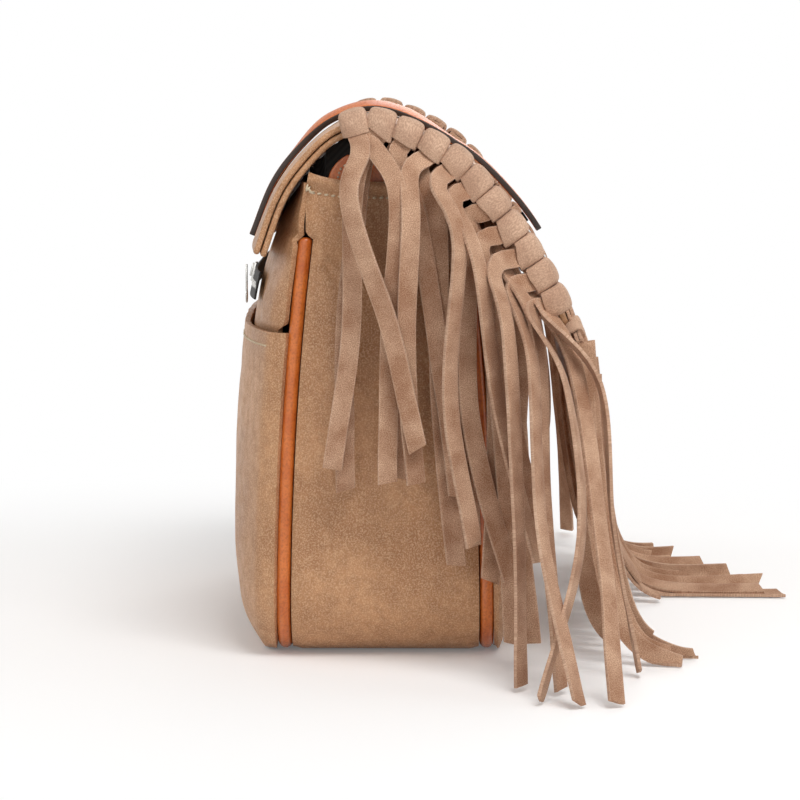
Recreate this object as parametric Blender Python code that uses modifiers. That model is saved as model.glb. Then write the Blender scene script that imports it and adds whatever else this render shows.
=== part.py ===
"""Shoulder bag with a curved flap that is laced all round with suede fringe.

Metres, +Z up. The front of the bag faces -Y and its base stands on the ground at the origin.
"""
import math

import bmesh
import bpy
from mathutils import Matrix, Vector

# Body of the bag
BODY_WIDTH = 0.270          # across the outer faces of the two end gussets
BASE_DEPTH = 0.087          # between the two piping loops at the base
TOP_PINCH = 0.010           # how far each piping loop leans in at its upper end
PINCH_POWER = 2.2
PIPING_TOP = 0.180          # height at which the piping ends
PIPING_RADIUS = 0.003
GUSSET_HEIGHT = 0.204       # base to the middle of the turned hem
HEM_RISE = 0.004            # the hem's back corner above its middle
HEM_HEIGHT = 0.006
HEM_STEP = 0.0008           # how far the turned hem stands out
GUSSET_PUFF = 0.002
BASE_RADIUS = 0.032         # lower corners, seen from the front
WALL = 0.0024               # leather and its backing
GAP = 0.0003                # between pieces that touch

# Back and front panels
BACK_BULGE = 0.0195
BACK_TOP = 0.194
BACK_PEAK = 0.202           # height at which the back's bulge has died away
FRONT_BULGE = 0.014
FRONT_TOP = 0.188
FRONT_PEAK = 0.190
BULGE_LOW = 0.080           # below this height a panel rounds in to the base
BULGE_HIGH = 0.110          # above this height it leans back in to the mouth
BULGE_POWER = 3.3           # a higher power keeps it full for longer before it leans in
POCKET_TOP = 0.140
POCKET_STAND_OFF = 0.0012   # the pocket's mouth away from the wall behind it
POCKET_SLACK = 0.0004

# Lining
LINING = 0.001
LINING_INSET = 0.0072       # from the outer face of the gusset
LINING_TOP = 0.185

# Flap: its side edge in profile, from the back seam over the top to the front corner and lower edge
FLAP_OVERHANG = 0.003       # past each end of the body
FLAP_PROFILE = (
    (0.0555, 0.174), (0.0467, 0.1978), (0.0357, 0.2137), (0.022, 0.2259), (0.005, 0.2305), (-0.016, 0.223),
    (-0.0347, 0.2102), (-0.0524, 0.1885), (-0.065, 0.169), (-0.0755, 0.149), (-0.083, 0.125), (-0.0875, 0.092),
)
FLAP_SIDE = 0.199           # length of a side edge, back seam to front corner
FLAP_DIP = 0.050            # how much further the front edge reaches at the middle
FLAP_ROWS = 16
HINGE_OUT = 0.0065          # line the flap turns on, from the rear end of its side edge
HINGE_UP = 0.001
FLAP_LAYER = 0.0026
LAYER_GAP = 0.0005
BACK_CROWN = 0.10           # how far the middle of the flap stands proud of its sides
FRONT_CROWN = 0.03

# Centre strap and closure
STRAP_WIDTH = 0.030
STRAP_THICKNESS = 0.0028
STRAP_LENGTH = 0.172
TONGUE_LIFT = 0.0042        # the free end above the flap
TONGUE_FREE = 0.054         # length of the free end
PLATE_LENGTH = 0.026
PLATE_WIDTH = 0.020
PLATE_THICKNESS = 0.0012
PLATE_LAP = 0.012           # how far the tongue's tip reaches over the plate
PLATE_STAND_OFF = 0.0006    # the plate is flat and the flap curves under it
POST_RADIUS = 0.0025

# Back zip
ZIP_LENGTH = 0.190
TAPE_HEIGHT = 0.012
TAPE_THICKNESS = 0.0012
TAPE_STAND_OFF = 0.0007
SLIDER_SIZE = (0.007, 0.0026, 0.009)
PULL_LENGTH = 0.018
PULL_NECK = 0.0014
PULL_RING = 0.0034
PULL_HOLE = 0.0018
PULL_THICKNESS = 0.0010

# Strap tabs inside the two ends of the mouth
TAB_WIDTH = 0.040
TAB_CENTRE = 0.004
TAB_LOW = 0.186
TAB_HIGH = 0.215
TAB_THICKNESS = 0.0028

# Fringe: one folded suede lace to each knot
LACE_WIDTH = 0.0080
LACE_THICKNESS = 0.0016
LACE_SPACING = 0.0021       # between the two strands of a knot, centre to centre
LACE_ROOT = 0.0095          # from the flap's edge in to the slot
LACE_EXIT = 0.0066          # how far the knot reaches past the flap's edge
BAND_THICKNESS = 0.0012
BAND_SINK = 0.0002          # how deep it presses into the upper strand
BAND_DROP = 0.0018          # how far the knot's band hooks down past the flap's face
SIDE_KNOTS = 11
SIDE_PITCH = 0.0120
CORNER_INSET = 0.0060       # from the flap's front corner to the last side knot
FRONT_KNOTS = 21
FRONT_INSET = 0.15          # extra room at each end of the front edge, in knot spacings
LAYER_STEP = 0.0024         # from one hanging strand to the next one outside it
FIRST_LAYER = 0.0100        # the innermost strand outside the flap's edge
SHOULDER_INSET = 0.0012     # a tail's shoulder lies this far in from its layer
SHOULDER_DROP = 0.0022
FALL_DROP = 0.0090          # from the flap's face to where a tail has turned down
FALL_SHARE = 0.2            # share of its first forward step that it has taken by there
TAIL_HIGH = 0.034           # from the knot down to the first of a tail's three places

# Each side knot's two tails: forward place below the knot, half way down and at the tip, the tip's height,
# how far the tip splays out from the bag, and the layer it hangs in
SIDE_TAILS = (
    ((0.014, -0.002, -0.014, 0.095, 0.002, 8), (-0.006, -0.002, -0.002, 0.080, 0.000, 6)),
    ((0.013, 0.014, 0.022, 0.085, 0.000, 3), (0.011, 0.017, 0.016, 0.075, 0.000, 0)),
    ((-0.007, -0.006, -0.009, 0.080, 0.000, 1), (-0.013, -0.023, -0.031, 0.073, 0.000, 3)),
    ((-0.011, -0.009, -0.013, 0.080, 0.000, 7), (-0.022, -0.023, -0.030, 0.044, 0.000, 2)),
    ((-0.031, -0.027, -0.037, 0.056, 0.002, 9), (-0.030, -0.035, -0.037, 0.051, 0.000, 0)),
    ((-0.039, -0.048, -0.064, 0.048, 0.003, 8), (-0.034, -0.036, -0.053, 0.039, 0.002, 3)),
    ((-0.044, -0.047, -0.044, 0.037, 0.001, 1), (-0.042, -0.050, -0.054, 0.011, 0.002, 2)),
    ((-0.046, -0.054, -0.066, 0.053, 0.002, 6), (-0.057, -0.055, -0.062, 0.010, 0.000, 0)),
    ((-0.051, -0.055, -0.056, 0.002, 0.030, 9), (-0.063, -0.066, -0.072, 0.002, 0.049, 4)),
    ((-0.061, -0.064, -0.078, 0.002, 0.070, 7), (-0.078, -0.088, -0.093, 0.002, 0.082, 1)),
    ((-0.075, -0.080, -0.063, 0.002, 0.058, 9), (-0.089, -0.095, -0.106, 0.002, 0.004, 7)),
)
FRONT_REACH = 0.085         # how far the front tails lie out along the ground
FRONT_LEAN = 0.020          # how far they lean forward before they reach it
FRONT_FAN = 0.20            # share of its distance from the middle by which a tail spreads
FRONT_SWAY = 0.0022
GROUND_CLEAR = 0.0007       # the lowest lace above the ground the bag stands on

HALF_WIDTH = BODY_WIDTH / 2
FLAP_HALF = HALF_WIDTH + FLAP_OVERHANG
TONGUE_START = STRAP_LENGTH - TONGUE_FREE
PLATE_START = STRAP_LENGTH - PLATE_LAP
ZIP_HEIGHT = (POCKET_TOP + FLAP_PROFILE[0][1]) / 2 + GAP
HINGE = Vector((0, FLAP_PROFILE[0][0] + HINGE_OUT, FLAP_PROFILE[0][1] + HINGE_UP))


def clear_scene():
    for item in list(bpy.data.objects):
        bpy.data.objects.remove(item, do_unlink=True)


def make_collection(name):
    collection = bpy.data.collections.new(name)
    bpy.context.scene.collection.children.link(collection)
    return collection


def material(name, colour, roughness, metallic=0.0):
    made = bpy.data.materials.new(name)
    made.use_nodes = True
    shader = made.node_tree.nodes["Principled BSDF"]
    shader.inputs["Base Color"].default_value = (*colour, 1)
    shader.inputs["Roughness"].default_value = roughness
    shader.inputs["Metallic"].default_value = metallic
    made.diffuse_color = (*colour, 1)
    return made


def place_object(name, data, finish, parent=None):
    made = bpy.data.objects.new(name, data)
    PARTS.objects.link(made)
    data.materials.append(finish)
    if parent:
        made.parent = parent
        made.matrix_parent_inverse = Matrix.Translation(-parent.location)
    return made


# Curves and sheets

def spline_point(points, place):
    """Point on the smooth curve through the given points; place counts intervals."""
    index = min(int(place), len(points) - 2)
    t = place - index
    p1, p2 = points[index], points[index + 1]
    p0 = points[index - 1] if index else p1 * 2 - p2
    p3 = points[index + 2] if index + 2 < len(points) else p2 * 2 - p1
    return (p1 * 2 + (p2 - p0) * t + (p0 * 2 - p1 * 5 + p2 * 4 - p3) * t ** 2
            + (p1 * 3 - p0 - p2 * 3 + p3) * t ** 3) / 2


class Profile:
    """A smooth curve in the YZ plane that is read by its length."""

    def __init__(self, points, steps=12):
        points = [Vector((0, y, z)) for y, z in points]
        count = (len(points) - 1) * steps
        self.points = [spline_point(points, i / steps) for i in range(count + 1)]
        self.lengths = [0.0]
        for a, b in zip(self.points, self.points[1:]):
            self.lengths.append(self.lengths[-1] + (b - a).length)

    def at(self, length):
        last = len(self.points) - 2
        index = next((i for i in range(last + 1) if self.lengths[i + 1] >= length), last)
        span = self.lengths[index + 1] - self.lengths[index]
        share = (length - self.lengths[index]) / span
        return self.points[index].lerp(self.points[index + 1], share)


def grid_mesh(name, surface, columns, rows):
    """Open sheet whose faces point along the cross product of its two directions."""
    mesh = bpy.data.meshes.new(name)
    shape = bmesh.new()
    bmesh.ops.create_grid(shape, x_segments=columns, y_segments=rows, size=1)
    for vert in shape.verts:
        vert.co = surface(vert.co.x, vert.co.y)
    shape.to_mesh(mesh)
    shape.free()
    return mesh


def add_sheet(name, surface, columns, rows, thickness, finish, parent=None, offset=-1.0):
    """Sheet of leather or suede; offset -1 keeps the given surface as its outer face."""
    made = place_object(name, grid_mesh(name, surface, columns, rows), finish, parent)
    made.data.shade_smooth()
    solid = made.modifiers.new("Thickness", "SOLIDIFY")
    solid.thickness = thickness
    solid.offset = offset
    solid.use_even_offset = True
    return made


def add_tube(name, points, radius, finish):
    """Round cord or piping along the given points, with closed ends."""
    curve = bpy.data.curves.new(name, "CURVE")
    curve.dimensions = "3D"
    curve.bevel_depth = radius
    curve.bevel_resolution = 2
    curve.use_fill_caps = True
    line = curve.splines.new("POLY")
    line.points.add(len(points) - 1)
    for target, point in zip(line.points, points):
        target.co = (*point, 1)
        target.radius = 1
    return place_object(name, curve, finish)


# Body outline: both piping loops, the gusset and the panels follow it

def half_depth(height):
    """Half the depth between the piping loops at a height."""
    return BASE_DEPTH / 2 - TOP_PINCH * (min(height, PIPING_TOP) / PIPING_TOP) ** PINCH_POWER


def half_span(height, inset=0.0):
    """Half the body's width at a height, which narrows into the rounded lower corners."""
    drop = max(BASE_RADIUS - height, 0.0)
    return HALF_WIDTH - BASE_RADIUS + math.sqrt(max((BASE_RADIUS - inset) ** 2 - drop ** 2, 0.0))


def outline(top, inset, straight=5, corner=4, base=4):
    """Points (x, z) down the near end, along the base and up the far end."""
    radius = BASE_RADIUS - inset
    side = [Vector((-HALF_WIDTH + inset, BASE_RADIUS + (top - BASE_RADIUS) * (1 - i / straight)))
            for i in range(straight)]
    for i in range(corner + 1):
        angle = math.pi / 2 * i / corner
        side.append(Vector((-HALF_WIDTH + BASE_RADIUS - radius * math.cos(angle),
                            BASE_RADIUS - radius * math.sin(angle))))
    flat = [side[-1].lerp(Vector((-side[-1].x, side[-1].y)), (i + 1) / base) for i in range(base - 1)]
    return side + flat + [Vector((-p.x, p.y)) for p in reversed(side)]


def add_gusset(finish):
    """One strip that makes both ends and the base, with a turned hem at each mouth end."""
    top = GUSSET_HEIGHT
    hem_rows = (0.0, HEM_HEIGHT - HEM_STEP, HEM_HEIGHT + HEM_STEP)
    main = outline(top - 3 * HEM_HEIGHT, 0.0)
    near = [Vector((-HALF_WIDTH, top - drop)) for drop in hem_rows]
    line = near + main + [Vector((-p.x, p.y)) for p in reversed(near)]
    hem_last = len(line) - 1

    def surface(u, v):
        index = round((u + 1) / 2 * hem_last)
        x, z = line[index]
        side = math.copysign(1.0, x)
        across = -v * (half_depth(z) - PIPING_RADIUS - GAP)
        puff = GUSSET_PUFF * (1 - v * v) * math.sin(math.pi * min(z / top, 1.0)) if z > BASE_RADIUS else 0.0
        if min(index, hem_last - index) < 2:
            puff += HEM_STEP
        if min(index, hem_last - index) < 3:
            z += HEM_RISE * max(-v, 0.0) ** 2
        return Vector((x + side * puff if abs(x) > HALF_WIDTH - GAP else x, across, z))

    return add_sheet("gusset", surface, hem_last, 4, WALL, finish)


def add_piping(name, side, finish):
    """Corded seam between the gusset and a panel; side is 1 at the back and -1 at the front."""
    line = outline(PIPING_TOP, PIPING_RADIUS + GAP, 5, 4, 3)
    points = [Vector((x, side * half_depth(z), z)) for x, z in line]
    return add_tube(name, points, PIPING_RADIUS, finish)


def bulge(x, height, top, depth):
    """How far a soft panel stands out from its piping."""
    across = 1 - abs(x / half_span(height)) ** 4
    low = max(BULGE_LOW - height, 0.0) / BULGE_LOW
    high = max(height - BULGE_HIGH, 0.0) / (top - BULGE_HIGH)
    return depth * max(across, 0.0) * (1 - low ** 6) * (1 - 0.95 * min(high, 1.0) ** BULGE_POWER)


def panel_face(x, height, top, depth):
    """Distance of a panel's outer face from the bag's middle plane."""
    return half_depth(height) + PIPING_RADIUS + GAP + WALL + bulge(x, height, top, depth)


def panel_heights(top, rows):
    """Heights of a panel's rows, closer together where it rounds in at the base."""
    low = (0.0, 0.04, 0.12, 0.26, 0.50, 1.0)
    heights = [GAP + share * BASE_RADIUS for share in low]
    left = rows - len(low) + 1
    return heights + [heights[-1] + (top - heights[-1]) * (i + 1) / left for i in range(left)]


def panel_slope(x, height, peak, depth, step=0.001):
    """How much longer a step across the panel's wall is when it is taken along Y."""
    low = max(height - step, GAP)
    rise = (panel_face(x, low + 2 * step, peak, depth) - panel_face(x, low, peak, depth)) / (2 * step)
    run = (panel_face(x + step, height, peak, depth) - panel_face(x - step, height, peak, depth)) / (2 * step)
    return math.sqrt(1 + rise * rise + run * run)


def add_panel(name, side, top, peak, depth, finish, rows=13):
    """Front or back panel, sewn into its piping along the sides and base."""
    heights = panel_heights(top, rows)

    def surface(u, v):
        height = heights[round((v + 1) / 2 * rows)]
        x = -side * u * (half_span(height) - GAP)
        return Vector((x, side * panel_face(x, height, peak, depth), height))

    return add_sheet(name, surface, 10, rows, WALL, finish)


def add_pocket(finish, rows=11):
    """Outer panel of the back pocket, over the lower part of the back panel."""
    heights = panel_heights(POCKET_TOP, rows)

    def surface(u, v):
        height = heights[round((v + 1) / 2 * rows)]
        x = -u * (half_span(height) - GAP)
        slack = POCKET_SLACK + POCKET_STAND_OFF * (1 - u ** 4) * (height / POCKET_TOP) ** 2
        step = (WALL + GAP + slack) * panel_slope(x, height, BACK_PEAK, BACK_BULGE)
        return Vector((x, panel_face(x, height, BACK_PEAK, BACK_BULGE) + step, height))

    return add_sheet("back_pocket", surface, 10, rows, WALL, finish)


def add_lining(finish):
    """Loose inner bag that is sewn in along the mouth."""
    mesh = bpy.data.meshes.new("lining")
    shape = bmesh.new()
    corner = 5
    angles = 20
    floor = LINING_INSET + 2 * GAP
    levels = [floor + (LINING_TOP - floor) * share for share in (0.0, 0.02, 0.08, 0.2, 0.55, 1.0)]

    def ring_point(angle, height, share=1.0):
        reach = half_span(height, LINING_INSET)
        x = math.copysign(abs(math.cos(angle)) ** (2 / corner), math.cos(angle)) * reach * share
        back = math.sin(angle) > 0
        puff = bulge(x, height, *((BACK_PEAK, BACK_BULGE) if back else (FRONT_PEAK, FRONT_BULGE)))
        wall = half_depth(height) + PIPING_RADIUS - GAP + 0.85 * puff
        y = math.copysign(abs(math.sin(angle)) ** (2 / corner), math.sin(angle)) * wall * share
        return Vector((x, y, height))

    bmesh.ops.create_circle(shape, cap_ends=True, segments=angles, radius=1)
    ring = sorted(shape.verts, key=lambda v: math.atan2(v.co.y, v.co.x))
    turns = [math.atan2(v.co.y, v.co.x) for v in ring]
    for vert, turn in zip(ring, turns):
        vert.co = ring_point(turn, levels[0], 0.97)
    edges = [edge for edge in shape.edges if len(edge.link_faces) == 1]
    for height in levels[1:]:
        made = bmesh.ops.extrude_edge_only(shape, edges=edges)["geom"]
        edges = [item for item in made if isinstance(item, bmesh.types.BMEdge)]
        for vert in {vert for edge in edges for vert in edge.verts}:
            below = next(e.other_vert(vert) for e in vert.link_edges if e not in edges)
            turn = min(range(angles), key=lambda i: (ring[i].co - below.co).length)
            vert.co = ring_point(turns[turn], height)
            ring[turn] = vert
    bmesh.ops.recalc_face_normals(shape, faces=shape.faces[:])
    shape.to_mesh(mesh)
    shape.free()
    made = place_object("lining", mesh, finish)
    solid = made.modifiers.new("Thickness", "SOLIDIFY")
    solid.thickness = LINING
    solid.offset = -1.0
    return made


# Flap

PROFILE = Profile(FLAP_PROFILE)


def flap_length(u):
    """Length of the flap from the back seam to its lower edge, at a share of its half width."""
    return FLAP_SIDE + FLAP_DIP * (1 - abs(u) ** 2.2)


def flap_face(u, length):
    """Point on the flap's outer face."""
    point = PROFILE.at(length)
    crown = BACK_CROWN if point.y > 0 else FRONT_CROWN
    return Vector((u * FLAP_HALF, point.y * (1 + crown * (1 - u * u)), point.z))


def flap_normal(u, length, step=0.0005):
    """Outward direction at a point of the flap."""
    low = max(length - step, 0.0)
    along = flap_face(u, low + 2 * step) - flap_face(u, low)
    across = flap_face(min(u + 0.01, 1), length) - flap_face(max(u - 0.01, -1), length)
    return along.cross(across).normalized()


def on_flap(u, length, height):
    """Point at a height above the flap's outer face."""
    return flap_face(u, length) + flap_normal(u, length) * height


def add_flap_layer(name, depth, finish, parent, columns=8):
    """One of the flap's two layers; depth is how far its outer face lies below the flap's."""
    def surface(u, v):
        share = (v + 1) / 2
        return on_flap(-u, share * flap_length(u), -depth)

    return add_sheet(name, surface, columns, FLAP_ROWS, FLAP_LAYER, finish, parent)


def add_strap(finish, parent):
    """Centre strap from the back seam over the top, with a free rounded tongue at the front."""
    pitch = flap_length(0) / FLAP_ROWS
    straight = STRAP_LENGTH - STRAP_WIDTH / 2
    stations = [i * pitch for i in range(int(straight / pitch) + 1)]
    stations += [straight + STRAP_WIDTH / 2 * share for share in (0.0, 0.35, 0.65, 0.88, 1.0)]
    rows = len(stations) - 1

    def surface(u, v):
        length = stations[round((v + 1) / 2 * rows)]
        lift = max(length - TONGUE_START, 0.0) / (STRAP_LENGTH - TONGUE_START)
        height = GAP + STRAP_THICKNESS + TONGUE_LIFT * math.sin(lift * math.pi / 2)
        end = max(length - straight, 0.0) / (STRAP_WIDTH / 2)
        half = STRAP_WIDTH / 2 * math.sqrt(max(1 - (0.86 * end) ** 2, 0.0))
        return on_flap(-u * half / FLAP_HALF, length, height)

    return add_sheet("centre_strap", surface, 4, rows, STRAP_THICKNESS, finish, parent)


def surface_frame(u, length, height):
    """Placement on the flap: X across the bag, Y down along the flap, Z out of it."""
    out = flap_normal(u, length)
    across = Vector((1, 0, 0))
    across = (across - out * across.dot(out)).normalized()
    down = out.cross(across)
    frame = Matrix((across, down, out)).transposed().to_4x4()
    return Matrix.Translation(on_flap(u, length, height)) @ frame


def add_block(name, size, frame, finish, bevel, parent=None):
    """Rounded block, centred in its frame."""
    mesh = bpy.data.meshes.new(name)
    shape = bmesh.new()
    bmesh.ops.create_cube(shape, size=1, matrix=Matrix.Diagonal((*size, 1)))
    bmesh.ops.bevel(shape, geom=shape.edges[:], offset=bevel, segments=1, affect="EDGES", profile=0.5,
                    material=-1)
    bmesh.ops.transform(shape, matrix=frame, verts=shape.verts)
    shape.to_mesh(mesh)
    shape.free()
    return place_object(name, mesh, finish, parent)


def add_closure(plate_finish, post_finish, parent):
    """Metal plate on the flap's front and the stud that carries the tongue."""
    middle = PLATE_START + PLATE_LENGTH / 2
    size = (PLATE_WIDTH, PLATE_LENGTH, PLATE_THICKNESS)
    frame = surface_frame(0, middle, GAP + PLATE_THICKNESS / 2 + PLATE_STAND_OFF)
    add_block("closure_plate", size, frame, plate_finish, PLATE_THICKNESS * 0.3, parent)
    length = PLATE_START + 1.6 * POST_RADIUS
    low = PLATE_STAND_OFF + PLATE_THICKNESS + 3 * GAP
    lift = (length - TONGUE_START) / (STRAP_LENGTH - TONGUE_START)
    high = GAP + TONGUE_LIFT * math.sin(min(lift, 1.0) * math.pi / 2) - GAP
    mesh = bpy.data.meshes.new("closure_post")
    shape = bmesh.new()
    frame = surface_frame(0, length, (low + high) / 2)
    bmesh.ops.create_cone(shape, cap_ends=True, segments=16, radius1=POST_RADIUS, radius2=POST_RADIUS,
                          depth=high - low, matrix=frame)
    shape.to_mesh(mesh)
    shape.free()
    place_object("closure_post", mesh, post_finish, parent)


# Back zip

def zip_face(x, height):
    """Outer face of the back wall, where the zip is sewn on."""
    return panel_face(x, height, BACK_PEAK, BACK_BULGE)


def zip_lean():
    """Angle by which the back wall leans in at the zip."""
    reach = TAPE_HEIGHT / 2
    return math.atan((zip_face(0, ZIP_HEIGHT - reach) - zip_face(0, ZIP_HEIGHT + reach)) / (2 * reach))


def add_zip(tape_finish, metal, slider_parent, pull_parent):
    """Zip along the back: tape, slider and hanging pull."""
    def surface(u, v):
        x = -u * ZIP_LENGTH / 2
        height = ZIP_HEIGHT + v * TAPE_HEIGHT / 2
        return Vector((x, zip_face(x, height) + TAPE_STAND_OFF + TAPE_THICKNESS, height))

    add_sheet("zip_tape", surface, 8, 2, TAPE_THICKNESS, tape_finish)
    frame = Matrix.Translation(slider_parent.location) @ Matrix.Rotation(zip_lean(), 4, "X")
    add_block("zip_slider", SLIDER_SIZE, frame, metal, 0.0006, slider_parent)

    neck = PULL_NECK
    ring_drop = PULL_LENGTH - PULL_RING
    outer = [(-neck, 0.0), (neck, 0.0)]
    start = math.asin(neck / PULL_RING)
    for i in range(13):
        angle = math.pi / 2 - start - i * (2 * math.pi - 2 * start) / 12
        outer.append((PULL_RING * math.cos(angle), PULL_RING * math.sin(angle) - ring_drop))
    hole = [(PULL_HOLE * math.cos(i * math.tau / 8), PULL_HOLE * math.sin(i * math.tau / 8) - ring_drop)
            for i in range(8)]
    curve = bpy.data.curves.new("zip_pull", "CURVE")
    curve.dimensions = "2D"
    curve.fill_mode = "BOTH"
    curve.extrude = PULL_THICKNESS / 2
    for loop in (outer, hole):
        line = curve.splines.new("POLY")
        line.points.add(len(loop) - 1)
        line.use_cyclic_u = True
        for target, (x, z) in zip(line.points, loop):
            target.co = (x, z, 0, 1)
    pull = place_object("zip_pull", curve, metal, pull_parent)
    pull.matrix_parent_inverse = Matrix()
    pull.rotation_euler = (math.pi / 2, 0, 0)
    return pull


def add_tab(name, side, finish):
    """Leather tab inside a mouth end, where the shoulder strap is sewn on."""
    rows = 5
    face = HALF_WIDTH - WALL - GAP

    def surface(u, v):
        share = (v + 1) / 2
        rounding = math.sqrt(1 - (0.8 * max(share - 0.6, 0.0) / 0.4) ** 2)
        height = TAB_LOW + share * (TAB_HIGH - TAB_LOW)
        return Vector((side * face, TAB_CENTRE + side * u * TAB_WIDTH / 2 * rounding, height))

    return add_sheet(name, surface, 4, rows, TAB_THICKNESS, finish)


# Fringe

def edge_frame(point_at, place, step, outward):
    """Knot's origin on the flap's edge, and the directions along the edge, outwards and up."""
    u, length = point_at(place)
    origin = flap_face(u, length)
    along = (flap_face(*point_at(place + step)) - flap_face(*point_at(place - step))).normalized()
    up = flap_normal(u, length)
    along = (along - up * along.dot(up)).normalized()
    out = along.cross(up)
    if out.dot(outward) < 0:
        out = -out
    return origin, along, out, up


def side_frame(side, index):
    """Frame of a side knot; index counts from the top of the flap to its front corner."""
    place = FLAP_SIDE - CORNER_INSET - (SIDE_KNOTS - 1 - index) * SIDE_PITCH
    return edge_frame(lambda s: (side, s), place, 0.001, Vector((side, 0, 0)))


def front_places():
    """Even places along the front edge, from one corner to the other, as shares of the half width."""
    count = 200
    shares = [-1 + 2 * i / count for i in range(count + 1)]
    points = [flap_face(u, flap_length(u)) for u in shares]
    lengths = [0.0]
    for a, b in zip(points, points[1:]):
        lengths.append(lengths[-1] + (b - a).length)
    places = []
    for i in range(FRONT_KNOTS):
        goal = lengths[-1] * (i + 1 + FRONT_INSET) / (FRONT_KNOTS + 1 + 2 * FRONT_INSET)
        places.append(next(u for u, length in zip(shares, lengths) if length >= goal))
    return places


def front_frame(u):
    """Frame of a front knot."""
    return edge_frame(lambda v: (v, flap_length(v)), u, 0.004, Vector((0, 0, -1)))


def side_tail(frame, side, row, height):
    """Centre line of a tail that falls outside the end of the bag."""
    high_y, middle_y, tip_y, tip_z, splay, layer = row
    origin, _, out, up = frame
    reach = FIRST_LAYER + layer * LAYER_STEP
    shoulder = origin + out * (reach - SHOULDER_INSET) + up * (height - SHOULDER_DROP)
    fall = origin + out * reach - up * FALL_DROP
    fall.y += (high_y - origin.y) * FALL_SHARE
    x = side * (FLAP_HALF + reach)
    high = Vector((x + side * splay * 0.10, high_y, origin.z - TAIL_HIGH))
    tip = Vector((x + side * splay, tip_y, tip_z))
    middle = Vector((high.x + (tip.x - high.x) * 0.46, middle_y, (high.z + tip.z) / 2))
    return [origin + out * LACE_EXIT + up * height, shoulder, fall, high, middle, tip]


def front_tail(frame, index, strand, height):
    """Centre line of a tail that falls in front of the bag and lies out on the ground."""
    origin, _, out, up = frame
    sway = FRONT_SWAY * math.sin(2.1 * index + 1.3 * strand)
    shorter = 0.012 * math.sin(3.7 * index + 2.0 * strand)
    spread = origin.x * FRONT_FAN
    outer = strand * LAYER_STEP
    ground = GROUND_CLEAR + LACE_THICKNESS / 2 + strand * LAYER_STEP
    edge = abs(origin.x) / FLAP_HALF
    reach = FRONT_REACH * (1 - 0.42 * edge ** 2) + shorter
    lean = FRONT_LEAN

    def at(drop, forward, wide):
        return Vector((origin.x + spread * wide + sway * wide, origin.y - forward - outer, drop))

    start = origin + out * LACE_EXIT + up * height
    below = origin + out * (LACE_EXIT + LACE_WIDTH) + up * height
    hang = at(origin.z * 0.52, lean * 0.45, 0.35)
    heel = at(0.020, lean, 0.65)
    floor_near = Vector((heel.x + spread * 0.12, heel.y - 0.022 + outer, ground + 0.0006))
    floor_far = Vector((heel.x + spread * 0.35, heel.y - reach + outer, ground))
    return [start, below, hang, heel, floor_near, floor_far]


def ribbon_line(frame, tails):
    """Centre line and width direction at each station, from one tip through the knot to the other."""
    origin, along, out, up = frame
    low, high = GAP + LACE_THICKNESS / 2, GAP + LACE_THICKNESS / 2 + LACE_SPACING
    counts = (1, 2, 1, 2, 1)
    lines = []
    for tail in tails:
        line = [tail[0]]
        for index, count in enumerate(counts):
            line += [spline_point(tail, index + (i + 1) / count) for i in range(count)]
        widths = [along]
        for i in range(1, len(line)):
            ahead = line[min(i + 1, len(line) - 1)] - line[i - 1]
            ahead.normalize()
            width = widths[-1] - ahead * widths[-1].dot(ahead)
            widths.append(width.normalized())
        lines.append(list(zip(line, widths)))
    fold = []
    middle = (low + high) / 2
    for i in range(3):
        angle = -math.pi / 2 + math.pi * i / 2
        place = origin - out * (LACE_ROOT + LACE_SPACING / 2 * math.cos(angle))
        fold.append((place + up * (middle + LACE_SPACING / 2 * math.sin(angle)), along))
    return list(reversed(lines[0])) + fold + lines[1]


def band_surface(frame):
    """Band of the knot: it bridges both strands just outside the flap's edge."""
    origin, along, out, up = frame
    half = LACE_WIDTH / 2 + GAP + BAND_THICKNESS
    crest = GAP + LACE_THICKNESS + LACE_SPACING - BAND_SINK + BAND_THICKNESS
    path = ((-half, -BAND_DROP), (-half, crest), (-half * 0.6, crest), (half * 0.6, crest), (half, crest),
            (half, -BAND_DROP))
    start = 2 * GAP

    def surface(u, v):
        side, height = path[round((v + 1) / 2 * (len(path) - 1))]
        across = start + (u + 1) / 2 * (LACE_EXIT - start - 0.0004)
        return origin + along * side + out * across + up * height

    return surface, len(path) - 1


def add_lace(name, frame, tails, finish, parent):
    """One lace: folded in half, its two strands pulled under the band of its own knot."""
    line = ribbon_line(frame, tails)
    rows = len(line) - 1

    def surface(u, v):
        point, width = line[round((v + 1) / 2 * rows)]
        return point + width * u * LACE_WIDTH / 2

    lace = add_sheet(name, surface, 1, rows, LACE_THICKNESS, finish, parent, offset=0.0)
    face, band_rows = band_surface(frame)
    mesh = grid_mesh(name + "_band", face, 1, band_rows)
    band = bpy.data.objects.new(name + "_band", mesh)
    GUIDES.objects.link(band)
    band.hide_render = True
    band.display_type = "WIRE"
    if parent:
        band.parent = parent
        band.matrix_parent_inverse = Matrix.Translation(-parent.location)
    wall = band.modifiers.new("Thickness", "SOLIDIFY")
    wall.thickness = BAND_THICKNESS
    first = mesh.polygons[band_rows // 2]
    faces_out = first.normal.dot(frame[3]) > 0
    wall.offset = -1.0 if faces_out else 1.0
    join = lace.modifiers.new("Knot band", "BOOLEAN")
    join.operation = "UNION"
    join.object = band
    return lace


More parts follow.
